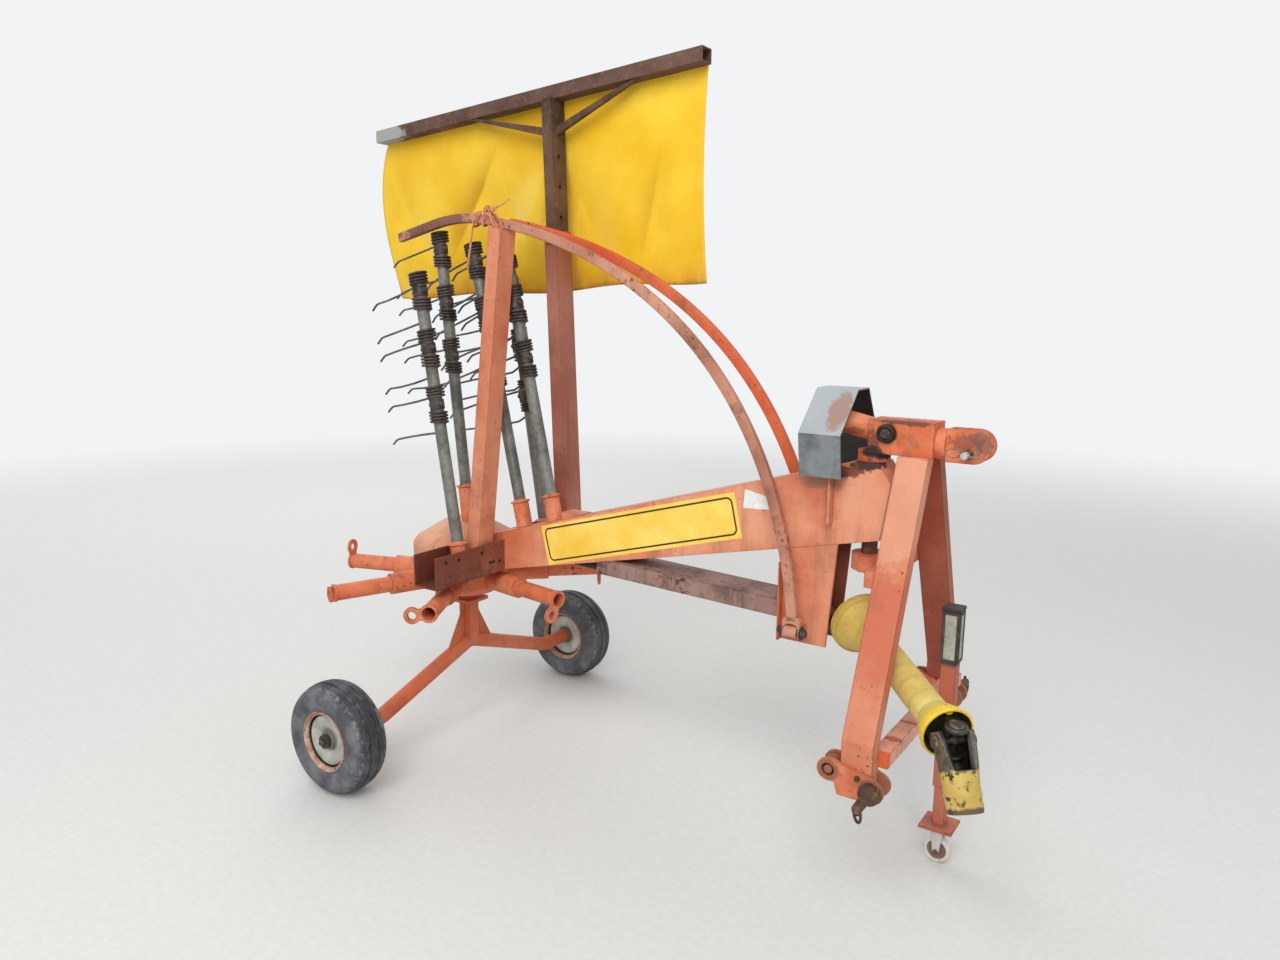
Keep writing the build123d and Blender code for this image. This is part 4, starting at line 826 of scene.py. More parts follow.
def tineArmPiece(number, row):
    base, out, side, along = armFrame(row)
    length, radius, wire = tineArm["length"], tineArm["tube"], tineArm["wire"]
    bored, thick = tineArm["bore"] * length, tineArm["flangeThick"]
    inside, lip = radius - tineArm["wall"], tineArm["flange"] - 0.0015
    shape = Shape()
    lathe(shape, [(0, 0), (radius, 0), (radius, length), (inside, length), (inside, bored), (0, bored)],
          base, along, 40, 0)
    lathe(shape, [(0, -thick), (lip, -thick), (lip + 0.0015, 0.0015 - thick), (lip + 0.0015, -0.0015),
                  (lip, 0), (radius + 0.006, 0), (radius, 0.006), (0, 0.006)], base, along, 40, 2)
    coilPoints = int(tineArm["turns"] * tineArm["turnSteps"]) + 4
    for pair in range(tineArm["pairs"]):
        here = base + along * (length - tineArm["below"] - pair * tineArm["step"])
        for way in (1, -1):
            local = springWire(way, 0.002 * ((number * 3 + pair * 2 + way) % 5 - 2))
            path = here + local @ (out, side, along)
            tube(shape, path[:coilPoints], wire, along + 0.001 * out, 8, 1)
            thin = np.linspace(wire, tineArm["tip"], len(path) - coilPoints + 1)
            tube(shape, path[coilPoints - 1:], thin, side, 8, 3)
        lathe(shape, [(radius - 0.001, -0.019), (radius + 0.0045, -0.018), (radius + 0.0045, 0.018),
                      (radius - 0.001, 0.019)], here, along, 32, 1, closed=True)
        clamp = here + out * (radius + 0.004)
        prism(shape, rectangle(*tineArm["clamp"]), clamp, side, out, tineArm["clampThick"], 0.002, 1)
        boltHead(shape, here + out * (radius + 0.0182), out, tineArm["bolt"], 1, washer=False)
        boltHead(shape, here - out * (radius + 0.003), -out, tineArm["nut"], 1, washer=False, nut=True)
    looks = ["zincTube", "coilSteel", "neckPaint", "tineSteel"]
    shape.make("tineArm_%d" % number, "frame", looks, 42, ["tine_arm_%d" % number])


for number, row in enumerate(storedArms, 1):
    tineArmPiece(number, row)
print("tine arms")

# mm from the rotor axis; rear and front: the sheet's ends at the bar; slope: the bar's rise to the front;
# creases: (place at the height of low, lean, depth in mm, width, low), as shares of the sheet
curtain = {"rear": -580.0, "front": 1000.0, "top": 2433.0, "slope": 0.0704, "y": 175.8, "out": 105.0,
           "drop": 641.0, "columns": 150, "rows": 90, "thick": 0.0016,
           "creases": ((0.1, 0.22, 16, 0.05, 0.55), (0.3, -0.3, 12, 0.045, 0.5), (0.44, 0.1, 9, 0.03, 0.6),
                       (0.62, 0.26, 11, 0.04, 0.45), (0.86, -0.12, 12, 0.05, 0.6))}


def curtainPiece():
    # a sheet hung from the bar: u runs along the bar and v down. Its foot stands out from the bar and
    # its rear edge swings out to the rear, the more the lower; two waves and two slanting swells fold it,
    # and sharp creases are ridges of |distance| across leaning lines, fading along them
    rows, columns = curtain["rows"], curtain["columns"]
    v, u = np.meshgrid(np.linspace(0, 1, rows), np.linspace(0, 1, columns), indexing="ij")
    belly = np.sin(np.pi * v)
    rearEdge = (1 - u) ** 3 * (-84 * np.sin(np.pi * v ** 0.8) - 82 * v ** 2.5)
    frontEdge = u ** 4 * (-18 * belly - 8 * v)
    x = curtain["rear"] + u * (curtain["front"] - curtain["rear"]) + rearEdge + frontEdge
    folds = 9 * np.sin(2 * np.pi * (u * 3.1 + 0.35 * v)) * v ** 1.2
    folds += 6 * np.sin(2 * np.pi * (u * 5.3 - 0.8 * v) + 1.1) * v * (1 - 0.4 * v)
    folds += 12 * np.exp(-((u - 0.24 - 0.28 * v) / 0.05) ** 2) * belly ** 2
    folds -= 10 * np.exp(-((u - 0.68 + 0.3 * v) / 0.06) ** 2) * belly ** 2
    for at, lean, deep, wide, low in curtain["creases"]:
        away = np.abs(u - at - lean * (v - low)) / wide
        folds += deep * np.exp(-away) * np.exp(-((v - low) / 0.28) ** 2)
    y = curtain["y"] + curtain["out"] * (0.35 * v + 0.65 * v ** 1.6) * (1 - 0.72 * u ** 1.5) + folds
    # the front hangs lower, and the lower edge is slightly wavy
    fall = v * curtain["drop"] * (1 + 0.108 * u ** 0.7 + 0.012 * np.sin(2 * np.pi * u * 2.2 + 0.6) * v)
    z = curtain["top"] + curtain["slope"] * (x - curtain["rear"]) - fall
    # the third part of flow is how far each spot leans: the cloth finish paints shade and highlight on the
    # creases with it
    lean = np.gradient(folds, axis=1) / 2.4 + np.gradient(folds, axis=0) / 2.0
    shape = Shape()
    shape.add(fromRotor(np.stack([x, y, z], -1)), gridFaces(rows, columns), 0,
              np.stack([u, v, lean], -1).reshape(-1, 3))
    piece = shape.make("swathCurtain", "curtain", ["cloth"], 180, ["curtain"])
    thick = piece.modifiers.new("thickness", "SOLIDIFY")
    thick.thickness, thick.offset = curtain["thick"], 0.0


curtainPiece()
print("curtain")

# corners are (x, z) in mm; border: its line lies within this distance of a box with these half sizes
decal = {"corners": ((448, 931), (1264, 1156), (1298, 1008), (485, 785)), "face": -60.4, "thick": 0.0008,
         "border": {"inner": (0.389, 0.0415, 1.0), "corner": 0.022},
         "stickerCorners": ((1303, 1170), (1385, 1154), (1394, 1113), (1298, 1107))}


def flatPlate(name, corners, finish):
    # a thin plate between four (x, z) corners, given from the rear top one clockwise as seen from the
    # right; its flow counts metres from the middle, along and up
    corner = np.array([fromRotor((x, decal["face"], z)) for x, z in corners])
    u, v = np.meshgrid(np.linspace(0, 1, 33), np.linspace(0, 1, 9), indexing="xy")
    top = corner[0] + u[..., None] * (corner[1] - corner[0])
    low = corner[3] + u[..., None] * (corner[2] - corner[3])
    front = (top + v[..., None] * (low - top)).reshape(-1, 3)
    width = np.linalg.norm(corner[1] - corner[0])
    height = np.linalg.norm(corner[3] - corner[0])
    flow = np.stack([(u - 0.5) * width, (0.5 - v) * height, u * 0], -1).reshape(-1, 3)
    rows, columns = u.shape
    count = rows * columns
    faces = gridFaces(rows, columns)[:, ::-1]
    # the border, once round, joins the front to the back
    border = np.concatenate([np.arange(columns), np.arange(2, rows) * columns - 1,
                             np.arange(count - 1, count - columns - 1, -1),
                             np.arange(rows - 2, 0, -1) * columns])
    turn = np.roll(border, -1)
    rim = np.stack([border, turn, turn + count, border + count], -1)
    shape = Shape()
    shape.add(np.vstack([front, front + (0, decal["thick"], 0)]),
              np.vstack([faces, faces[:, ::-1] + count, rim]), 0, np.vstack([flow, flow]))
    shape.make(name, "frame", [finish], 60)


finishes["decal"] = decalFinish("decal", decal["border"])
flatPlate("decalPlate", decal["corners"], "decal")
flatPlate("bareSticker", decal["stickerCorners"], "paleSticker")
print("decal plate")


# Twine: the tail follows the CAD route; the turns go round the hoop, the strands over the post's head.
twine = {"radius": 0.002, "turnRadius": 0.0027, "strandRadius": 0.0026, "length": 0.218,
         "route": ((157, -64, 2085.1), (157, -79, 2085.1), (154, -79, 2040), (121, -80, 1877))}
# centre x, y, z, half height, half width, lean along x at the top, in mm, and the phase of each turn
twineTurns = ((162, -59.6, 2064, 25, 19, 22, 0.3), (172, -59.6, 2062, 28, 20, 30, 1.2),
              (196, -60, 2061, 24, 18, 8, 2.0), (207, -60, 2060, 25, 19, 16, 0.9),
              (246, -62, 2053, 29, 21, -26, 2.7), (258, -62, 2049, 33, 22, -34, 0.1),
              (238, -61, 2055, 24, 19, -8, 1.6))
# loose strands on top: the knot, the stiff end and short ends
twineStrands = (
    ((214, -75, 2094), (236, -72, 2104),
     (246, -60, 2096), (228, -50, 2090), (212, -58, 2098), (226, -74, 2106)),
    ((196, -66, 2092), (214, -76, 2108),
     (240, -76, 2100), (252, -66, 2090), (234, -56, 2086), (206, -60, 2094)),
    ((240, -80, 2090), (262, -84, 2086), (292, -85, 2099), (337, -86, 2120)),
    ((238, -80, 2098), (264, -86, 2092), (296, -86, 2103), (322, -85, 2113)),
    ((250, -84, 2086), (272, -90, 2078), (296, -92, 2052), (312, -94, 2019)),
    ((238, -86, 2074), (252, -92, 2052), (276, -96, 2026), (304, -96, 2012)),
    ((180, -78, 2086), (160, -82, 2064), (148, -82, 2020), (132, -81, 1950), (116, -80, 1884)),
)


def routeCurve(name, points):
    # one open spline with the route's points as its control points
    curve = bpy.data.curves.new(name, "CURVE")
    curve.dimensions = "3D"
    spline = curve.splines.new("NURBS")
    spline.points.add(len(points) - 1)
    for knot, place in zip(spline.points, fromRotor(points)):
        knot.co = (*place, 1.0)
    spline.order_u = 3
    spline.use_endpoint_u = True
    spline.resolution_u = 10
    return curve


def strand(shape, points, radius):
    # a mesh tube along the NURBS spline of a few points
    route = bpy.data.objects.new("route", routeCurve("route", points))
    scene.collection.objects.link(route)
    mesh = bpy.data.meshes.new_from_object(route)
    path = np.array([vertex.co for vertex in mesh.vertices])
    bpy.data.objects.remove(route)
    bpy.data.meshes.remove(mesh)
    tube(shape, path, radius, (0.13, 0.21, 0.97), 8)


def twinePieces():
    curve = routeCurve("twineTail", twine["route"])
    curve.bevel_depth, curve.bevel_resolution, curve.use_fill_caps = twine["radius"], 3, True
    curve.materials.append(finishes["twine"])
    tail = bpy.data.objects.new("twineTail", curve)
    scene.collection.objects.link(tail)
    shape = Shape()
    for x, y, z, high, wide, lean, phase in twineTurns:
        # a slightly wobbly oval between a circle and a rectangle
        turn = np.linspace(0, 2 * np.pi, 33) + phase
        wobble = 1 + 0.05 * np.sin(3 * turn + phase)
        over, up = np.cos(turn), np.sin(turn)
        path = np.stack([x + lean * up + 3 * np.sin(turn * 0.5),
                         y + wide * wobble * np.sign(over) * np.abs(over) ** 0.8,
                         z + high * wobble * np.sign(up) * np.abs(up) ** 0.8], -1)
        tube(shape, fromRotor(path), twine["turnRadius"], (1, 0, 0.2), 8)
    for points in twineStrands:
        strand(shape, points, twine["strandRadius"])
    shape.make("twineTurns", "hoop_right", ["twine"], 60)
    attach(tail, "hoop_right")
    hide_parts("twine_tail")


twinePieces()
print("twine")

# Small hardware. Places are in mm from the rotor axis, profiles and radii in metres: (radius, out).
neckRing = {"place": (1754.0, 1384.0), "face": 64.0, "bolt": 0.0105,
            "profile": ((0.0155, 0.0), (0.0155, 0.0035), (0.018, 0.0055), (0.0245, 0.005), (0.0262, 0.0025),
                        (0.0262, -0.008), (0.0155, -0.008))}


def neckBolts():
    # greasy ring with a bolt in it, on both sides of the neck
    shape = Shape()
    x, z = neckRing["place"]
    for side in (-1, 1):
        face = fromRotor((x, side * neckRing["face"], z))
        lathe(shape, neckRing["profile"], face, (0, side, 0), 40, 1, closed=True)
        boltHead(shape, face, (0, side, 0), neckRing["bolt"], 0)
    shape.make("neckBolts", "headstock", ["boltSteel", "greasySteel"], 34)


def ringPath(centre, across, up, wide, high, start=0.0, stop=2 * np.pi):
    turn = np.linspace(start, stop, 30)[:, None]
    return np.asarray(centre) + wide * np.cos(turn) * unit(across) + high * np.sin(turn) * unit(up)


# heads: (side, how far out the wires lie); head: the link pin's own
linch = {"place": (1985.0, 1342.0), "face": 62.3, "heads": ((-1, 84.3), (1, 77.3)), "wire": 0.0018,
         "needle": 0.0032, "head": ((0, 0.0275), (0.0085, 0.0275), (0.0105, 0.025), (0.0105, 0.001),
                                   (0, 0.001))}


def linchWires():
    # spring wire of the linch pins that lock the top link pin: a long eye to the rear, a bent one ahead;
    # and the pin's bright head on the right
    shape = Shape()
    x, z = linch["place"]
    for side, out in linch["heads"]:
        head = fromRotor((x, side * out, z))
        rear = ringPath(head + (-0.03, 0, 0.006), (1, 0, 0), (0.1, 0, 1), 0.021, 0.0125,
                        0.15, 2 * np.pi - 0.15)
        front = ringPath(head + (0.022, 0, 0.006), (1, 0, 0.5), (0, 0, 1), 0.019, 0.012,
                         np.pi * 0.75, -np.pi * 0.7)
        for eye in (rear, front):
            tube(shape, eye, linch["wire"], (0, 1, 0), 8)
        needle = head + np.linspace(-0.016, 0.042, 8)[:, None] * unit((1, 0, -0.05))
        tube(shape, needle, linch["needle"], (0, 1, 0), 10)
    lathe(shape, linch["head"], fromRotor((x, -linch["face"], z)), (0, -1, 0), 32, 1)
    shape.make("linchWires", "headstock", ["zincTube", "zincFork"], 40)


hitchPin = {"place": (1889.0, 462.0), "face": 412.8, "eye": 0.094, "ring": 0.0042, "needle": 0.005,
            "profile": ((0, 0), (0.026, 0), (0.0295, 0.004), (0.031, 0.013), (0.029, 0.022), (0.0245, 0.03),
                        (0.0185, 0.036), (0.0145, 0.041), (0.014, 0.094), (0.0132, 0.103), (0.0105, 0.11),
                        (0, 0.1118))}


def wornPins():
    # rusty hitch pins: a swollen, flaked root, the worn pin, and the linch pin with its ring in the eye
    x, z = hitchPin["place"]
    for side, name in ((-1, "right"), (1, "left")):
        shape = Shape()
        root = fromRotor((x, side * hitchPin["face"], z))
        lathe(shape, hitchPin["profile"], root, (0, side, 0), 36)
        eye = root + (0, side * hitchPin["eye"], 0)
        loop = ringPath(eye + (0, 0, -0.018), (0.6, side * 0.2, 0), (0, side * 0.25, 1), 0.011, 0.026)
        tube(shape, loop, hitchPin["ring"], (0, 1, 0), 8)
        needle = eye + np.linspace(-0.02, 0.022, 6)[:, None] * (0, 0, 1)
        tube(shape, needle, hitchPin["needle"], (0, 1, 0), 10)
        shape.make("hitchPinWorn_" + name, "headstock", ["rustySteel"], 40, ["hitch_pin_" + name])


foot = {"eye": (1765.0, 493.0), "eyeFace": 414.0, "screw": (1850.0, 492.0), "screwFace": 412.5,
        "screwSize": 0.0072,
        "bar": ((0, -0.07), (0.0125, -0.07), (0.0125, -0.003), (0.0105, -0.0008), (0, 0))}


def footBolts():
    # round bar end inside the rear eye of each hitch foot, and a screw head on the outer plate
    shape = Shape()
    for side in (-1, 1):
        x, z = foot["eye"]
        lathe(shape, foot["bar"], fromRotor((x, side * foot["eyeFace"], z)), (0, side, 0), 28)
        x, z = foot["screw"]
        screw = fromRotor((x, side * foot["screwFace"], z))
        boltHead(shape, screw, (0, side, 0), foot["screwSize"], 1, washer=False)
    shape.make("footBolts", "headstock", ["footPaint", "boltSteel"], 34)


# border: (across in mm, up in mm, width, height) of its four strips
jackCase = {"centre": (1935.5, 122.0, 757.0), "half": 25.5, "panel": (0.0355, 0.143), "panelRise": 0.0008,
            "borderRise": 0.0032, "border": ((-21.5, 0, 0.008, 0.16), (21.5, 0, 0.008, 0.16),
                                             (0, -75.5, 0.035, 0.009), (0, 75.5, 0.035, 0.009))}


def jackPanel():
    # pressed case: a raised dark border round a pale panel on its four sides
    shape = Shape()
    for out in ((0, -1, 0), (1, 0, 0), (0, 1, 0), (-1, 0, 0)):
        across = np.cross((0, 0, 1), out)
        face = np.array(jackCase["centre"]) + np.array(out) * jackCase["half"]
        for shift, rise, width, height in jackCase["border"]:
            middle = fromRotor(face + across * shift + (0, 0, rise))
            prism(shape, rectangle(width, height), middle, across, out, jackCase["borderRise"], 0.001, 1)
        panel = rectangle(*jackCase["panel"])
        prism(shape, panel, fromRotor(face), across, out, jackCase["panelRise"], 0.0002, 0)
    shape.make("jackPanel", "headstock", ["panelPaint", "jackEdge"], 34)


roller = ((0.0425, 0.0), (0.0425, 0.0085), (0.0415, 0.0125), (0.0385, 0.0145), (0.034, 0.0148),
          (0.0305, 0.013), (0.0285, 0.0085), (0.017, 0.0075), (0.0145, 0.0095), (0.0135, 0.0145),
          (0.0066, 0.0148))


def castorRoller():
    # cream roller with a rounded tread, dished sides and a dirty hub, on its axle
    shape = Shape()
    back = [(radius, -out) for radius, out in roller[::-1]]
    lathe(shape, back[:-1] + list(roller), fromRotor(castorAxle), (0, 1, 0), 64, closed=True)
    shape.make("castorRoller", "castor_wheel", ["castorWhite"], 32, ["castor_wheel"])


# run: metres along the guard's axis; the lug's outline is (across, up), the rim's profile (radius, run)
collar = {"run": 0.527, "radius": 0.066, "thick": 0.005,
          "lug": ((-0.012, 0), (0.012, 0), (0.009, 0.014), (0.004, 0.0175), (-0.004, 0.0175),
                  (-0.009, 0.014)),
          "rim": ((0.0655, 0.528), (0.0655, 0.541), (0.0702, 0.5415), (0.0718, 0.537), (0.0718, 0.531),
                  (0.0702, 0.528))}


def collarTab():
    # a short lug inside the collar's upper side, and the collar's bright rim
    shape = Shape()
    axis = unit(guard["axis"])
    up = unit((0, 0, 1) - axis * axis[2])
    start = fromRotor(guard["start"])
    centre = start + axis * collar["run"] + up * collar["radius"]
    prism(shape, collar["lug"], centre, np.cross(axis, up), axis, collar["thick"], 0.001)
    lathe(shape, collar["rim"], start, axis, 64, closed=True)
    shape.make("collarTab", "shaft", ["guardRim"], 34)


# rings: (run along the guard's axis, radius) of each bead; half: half its height and width
beads = {"rings": ((-0.031, 0.0982), (-0.0185, 0.0975), (-0.0085, 0.0905)), "half": (0.0021, 0.0026)}


def bellBeads():
    # pressed beads near the bell's rim
    shape = Shape()
    bead = ringOutline(1, 8) * beads["half"]
    for run, radius in beads["rings"]:
        lathe(shape, bead + (radius, run), fromRotor(guard["start"]), guard["axis"], 72, closed=True)
    shape.make("bellBeads", "shaft", ["guardBell"], 60)


# upright, level, cupAt: how far out the caps and cups sit on the cross; cap: (share of radius, out)
caps = {"radius": 0.0185, "upright": 0.046, "level": 0.05, "cupAt": 0.0455,
        "cap": ((0, 0.0035), (0.5, 0.0035), (0.62, 0.0055), (0.9, 0.0055), (1, 0.003), (1, -0.001),
                (0, -0.001)),
        "cup": ((0, -0.013), (0.0265, -0.013), (0.0305, -0.009), (0.0305, -0.002), (0.027, 0.0015),
                (0.021, 0.0025), (0, 0.0025))}


def jointCaps():
    # round bearing caps on the ends of the cross, with a raised rim and a dished middle, and the cups
    # behind the upright ones
    shape = Shape()
    level = unit(joint["level"])
    upright = np.cross(unit(guard["axis"]), level)
    centre = fromRotor(joint["centre"])
    profile = np.array(caps["cap"]) * (caps["radius"], 1)
    for way, reach in ((upright, caps["upright"]), (level, caps["level"])):
        for sign in (1, -1):
            lathe(shape, profile, centre + sign * way * reach, sign * way, 36, 0)
    for sign in (1, -1):
        lathe(shape, caps["cup"], centre + sign * upright * caps["cupAt"], sign * upright, 40, 1)
    shape.make("jointCaps", "shaft", ["capSteel", "yokeSteel"], 34)


# runs are metres down the hanging axis: the edge's height in front, behind and at the ears, where the body
# ends, and its floor; half: half the width and depth there; wall: its thickness; sleeve: (radius, run)
yoke = {"steps": 96, "rows": 14, "front": 0.074, "behind": 0.03, "ears": -0.0215, "end": 0.112,
        "floor": 0.113, "half": (0.056, 0.045), "narrowing": 0.0105, "deepening": 0.0005,
        "wall": (0.021, 0.0125), "bulge": 0.035, "lip": (0.38, 0.7), "lipRise": 0.003,
        "sleeve": ((0.0462, 0.116), (0.0455, 0.124), (0.0474, 0.128), (0.0474, 0.133), (0.0455, 0.137),
                   (0.0458, 0.162), (0.0436, 0.1745), (0.036, 0.1762), (0.0175, 0.1762), (0.0175, 0.116))}


def tractorYoke():
    # cast fork as one shell round its hanging axis: its upper edge runs up to an ear on each side, low
    # in front for the opening and higher behind; below, the sleeve with its lock groove
    hang, level = unit(joint["hang"]), unit(joint["level"])
    front = np.cross(hang, level)
    circle = ringOutline(1, yoke["steps"])
    turn = np.arctan2(circle[:, 1], circle[:, 0])
    # the edge eases from the opening to the ear as the turn nears the level pins
    ear = np.clip((np.abs(circle[:, 0]) - 0.5) / 0.42, 0, 1)
    ear = ear * ear * (3 - 2 * ear)
    edge = np.where(circle[:, 1] > 0, yoke["front"], yoke["behind"]) * (1 - ear) + yoke["ears"] * ear
    fall = np.linspace(0, 1, yoke["rows"])[:, None]
    half = np.hstack([yoke["half"][0] - yoke["narrowing"] * fall ** 1.4,
                      yoke["half"][1] + yoke["deepening"] * fall])[:, None]
    bulge = 1 + yoke["bulge"] * np.sin(np.pi * fall) * np.sin(3 * turn + 0.6)
    outer = half * circle * bulge[..., None]
    inner = (half - yoke["wall"]) * circle
    run = edge * (1 - fall) + yoke["end"] * fall

    def atRun(ring, height):
        # a ring of (across, front) points with its run down the axis beside it
        return np.concatenate([ring, np.broadcast_to(height, ring.shape[:2])[..., None]], -1)

    lips = [atRun(outer[:1] * (1 - share) + inner[:1] * share, run[:1] - yoke["lipRise"])
            for share in yoke["lip"]]
    sleeve = np.array(yoke["sleeve"])
    local = np.concatenate([atRun(inner[-1:] * 0.4, yoke["floor"]), atRun(inner, run + 0.001)[::-1],
                            lips[1], lips[0], atRun(outer, run),
                            atRun(sleeve[:, :1, None] * circle, sleeve[:, 1:])])
    points = fromRotor(joint["centre"]) + local @ (level, front, hang)
    rows, columns = local.shape[:2]
    faces = gridFaces(rows, columns, False, True).tolist()
    faces += [list(range(columns))[::-1], list(range((rows - 1) * columns, rows * columns))]
    shape = Shape()
    shape.add(points, faces, 0)
    # the outside of the body and the sleeve are flaked, the inside and the lips bare steel
    shape.slots = [int(yoke["rows"] + 2 < k // columns < rows - 3) for k in range(len(faces))]
    shape.make("tractorYoke", "shaft_end", ["yokeSteel", "flakedYoke"], 34, ["shaft_front_yoke"])


# heights in mm; legs and bolts: how far out in mm; the leg's outline is (across, up) from its middle
fork = {"top": 118, "plate": (0.052, 0.046), "plateAt": 110, "legAt": 77, "legOut": 18.5, "boltOut": 22.5,
        "thick": (0.004, 0.0042), "bolt": 0.0062,
        "leg": ((-0.010, -0.036), (0.010, -0.036), (0.019, 0.028), (0.024, 0.0365), (-0.024, 0.0365),
                (-0.019, 0.028)),
        "disc": ((0, 0.0055), (0.024, 0.0055), (0.026, 0.003), (0.026, -0.003), (0.022, -0.005), (0, -0.005))}


def castorFork():
    # pressed fork: a disc and a top plate, two legs that taper to the axle, and the axle bolt
    shape = Shape()
    x, y, axle = castorAxle
    lathe(shape, fork["disc"], fromRotor((x, y, fork["top"])), (0, 0, 1), 36)
    prism(shape, rectangle(*fork["plate"]), fromRotor((x, y, fork["plateAt"])), (1, 0, 0), (0, 0, 1),
          fork["thick"][0], 0.001)
    for side in (-1, 1):
        face = fromRotor((x, y + side * fork["legOut"], fork["legAt"]))
        prism(shape, fork["leg"], face, (-side, 0, 0), (0, side, 0), fork["thick"][1], 0.001)
        end = fromRotor((x, y + side * fork["boltOut"], axle))
        boltHead(shape, end, (0, side, 0), fork["bolt"], 1, washer=False, nut=True)
    shape.make("castorForkPressed", "castor", ["zincFork", "boltSteel"], 34, ["castor_fork"])


def roundedRectangle(width, height, corner, count):
    # each corner is a quarter circle of count points
    quarter = np.linspace(0, np.pi / 2, count)
    parts = []
    for cx, cy, first in ((1, 1, 0), (-1, 1, np.pi / 2), (-1, -1, np.pi), (1, -1, 1.5 * np.pi)):
        parts.append(np.stack([cx * (width / 2 - corner) + corner * np.cos(quarter + first),
                               cy * (height / 2 - corner) + corner * np.sin(quarter + first)], -1))
    return np.concatenate(parts)


# face: its x; holes: (y, z, radius); slot and field: middle (y, z), and width and height in metres
channel = {"face": 260.5, "holes": ((-370.6, 826.0, 5.5), (-305.6, 823.0, 5.0), (-185.0, 823.6, 5.5),
                                    (-88.0, 772.0, 4.5)),
           "slot": (-131.7, 776.5), "slotSize": (0.034, 0.009), "field": (-282, 753),
           "fieldSize": (0.178, 0.032), "corner": 0.012,
           "lip": ((0, 0.0005), (0.8, 0.0005), (0.95, 0.0014), (1.3, 0.0012), (1.4, -0.0004), (0, -0.0004))}


def channelMarks():
    # bolt holes as near-black discs with worn lips and a slot, both in painted shade, and a pressed-up field
    # on the long front face of the right cross channel; a lip's profile is (share of the hole's radius, out)
    shape = Shape()
    ahead, left = (1, 0, 0), (0, 1, 0)
    for y, z, radius in channel["holes"]:
        profile = np.array(channel["lip"]) * (radius / 1000, 1)
        lathe(shape, profile, fromRotor((channel["face"], y, z)), ahead, 24, 1)
    slot, field = (fromRotor((channel["face"], *channel[key])) for key in ("slot", "field"))
    prism(shape, rectangle(*channel["slotSize"]), slot, left, ahead, 0.0012, 0.0006, 1)
    outline = roundedRectangle(*channel["fieldSize"], channel["corner"], 6)
    prism(shape, outline, field, left, ahead, 0.0035, 0.003, 0)
    shape.make("channelMarks", "frame", ["channelPaintAndCheekShade", "paintedHoleShade"], 34)


# Guard hoops: knots of the Bezier curves are (x, z) in mm; half: half the section's width and height in
# metres. The right hoop goes on from its head to the tail's x, and its slope turns from one value to
# the other over a length from turnFrom to the rear.
hoops = {"foot": (1512.0, 122.0, 752.0), "lean": 2.7, "half": (0.012, 0.017), "round": 0.003,
         "right": ((1512, 790), (1432, 1470), (985, 1893), (285, 2041)),
         "left": ((1512, 790), (1400, 1640), (850, 1928), (215, 2056)),
         "tail": -262, "slope": (-0.2125, 0.2195), "turnFrom": 220, "turnOver": 300,
         "pin": ((0, -0.038), (0.0088, -0.038), (0.0088, 0.038), (0, 0.038)),
         "boltOut": 0.0315, "bolt": 0.0115}


def hoopPath(name):
    knots = np.array(hoops[name], dtype=float)
    t = np.linspace(0, 1, 70)[:, None]
    weights = ((1 - t) ** 3, 3 * (1 - t) ** 2 * t, 3 * (1 - t) * t ** 2, t ** 3)
    path = sum(weight * knot for weight, knot in zip(weights, knots))
    if name == "right":
        # past the post the slope turns evenly from rising to falling
        headX, headZ = knots[-1]
        x = np.linspace(headX, hoops["tail"], 40)[1:]
        first, last = hoops["slope"]
        slope = first + (last - first) * np.clip((hoops["turnFrom"] - x) / hoops["turnOver"], 0, 1)
        z = headZ + np.cumsum(slope * np.diff(x, prepend=headX))
        path = np.vstack([path, np.stack([x, z], -1)])
    return path


def forkOutline():
    # shoulders and two rounded ears with an arched slot between them; (across, up) in metres
    arch = np.linspace(0, np.pi, 13)
    slot = np.stack([0.0228 * np.cos(arch), 0.012 + 0.014 * np.sin(arch)], -1)
    tip = np.linspace(0, np.pi, 7)[1:-1]
    right = np.stack([0.0269 + 0.0041 * np.cos(tip), -0.014 - 0.004 * np.sin(tip)], -1)
    outside = ((0.031, -0.014), (0.031, 0.036), (0.0175, 0.05), (-0.0175, 0.05), (-0.031, 0.036),
               (-0.031, -0.014))
    return np.vstack([outside, right * (-1, 1), (-0.0228, -0.014), slot[::-1], (0.0228, -0.014), right[::-1]])


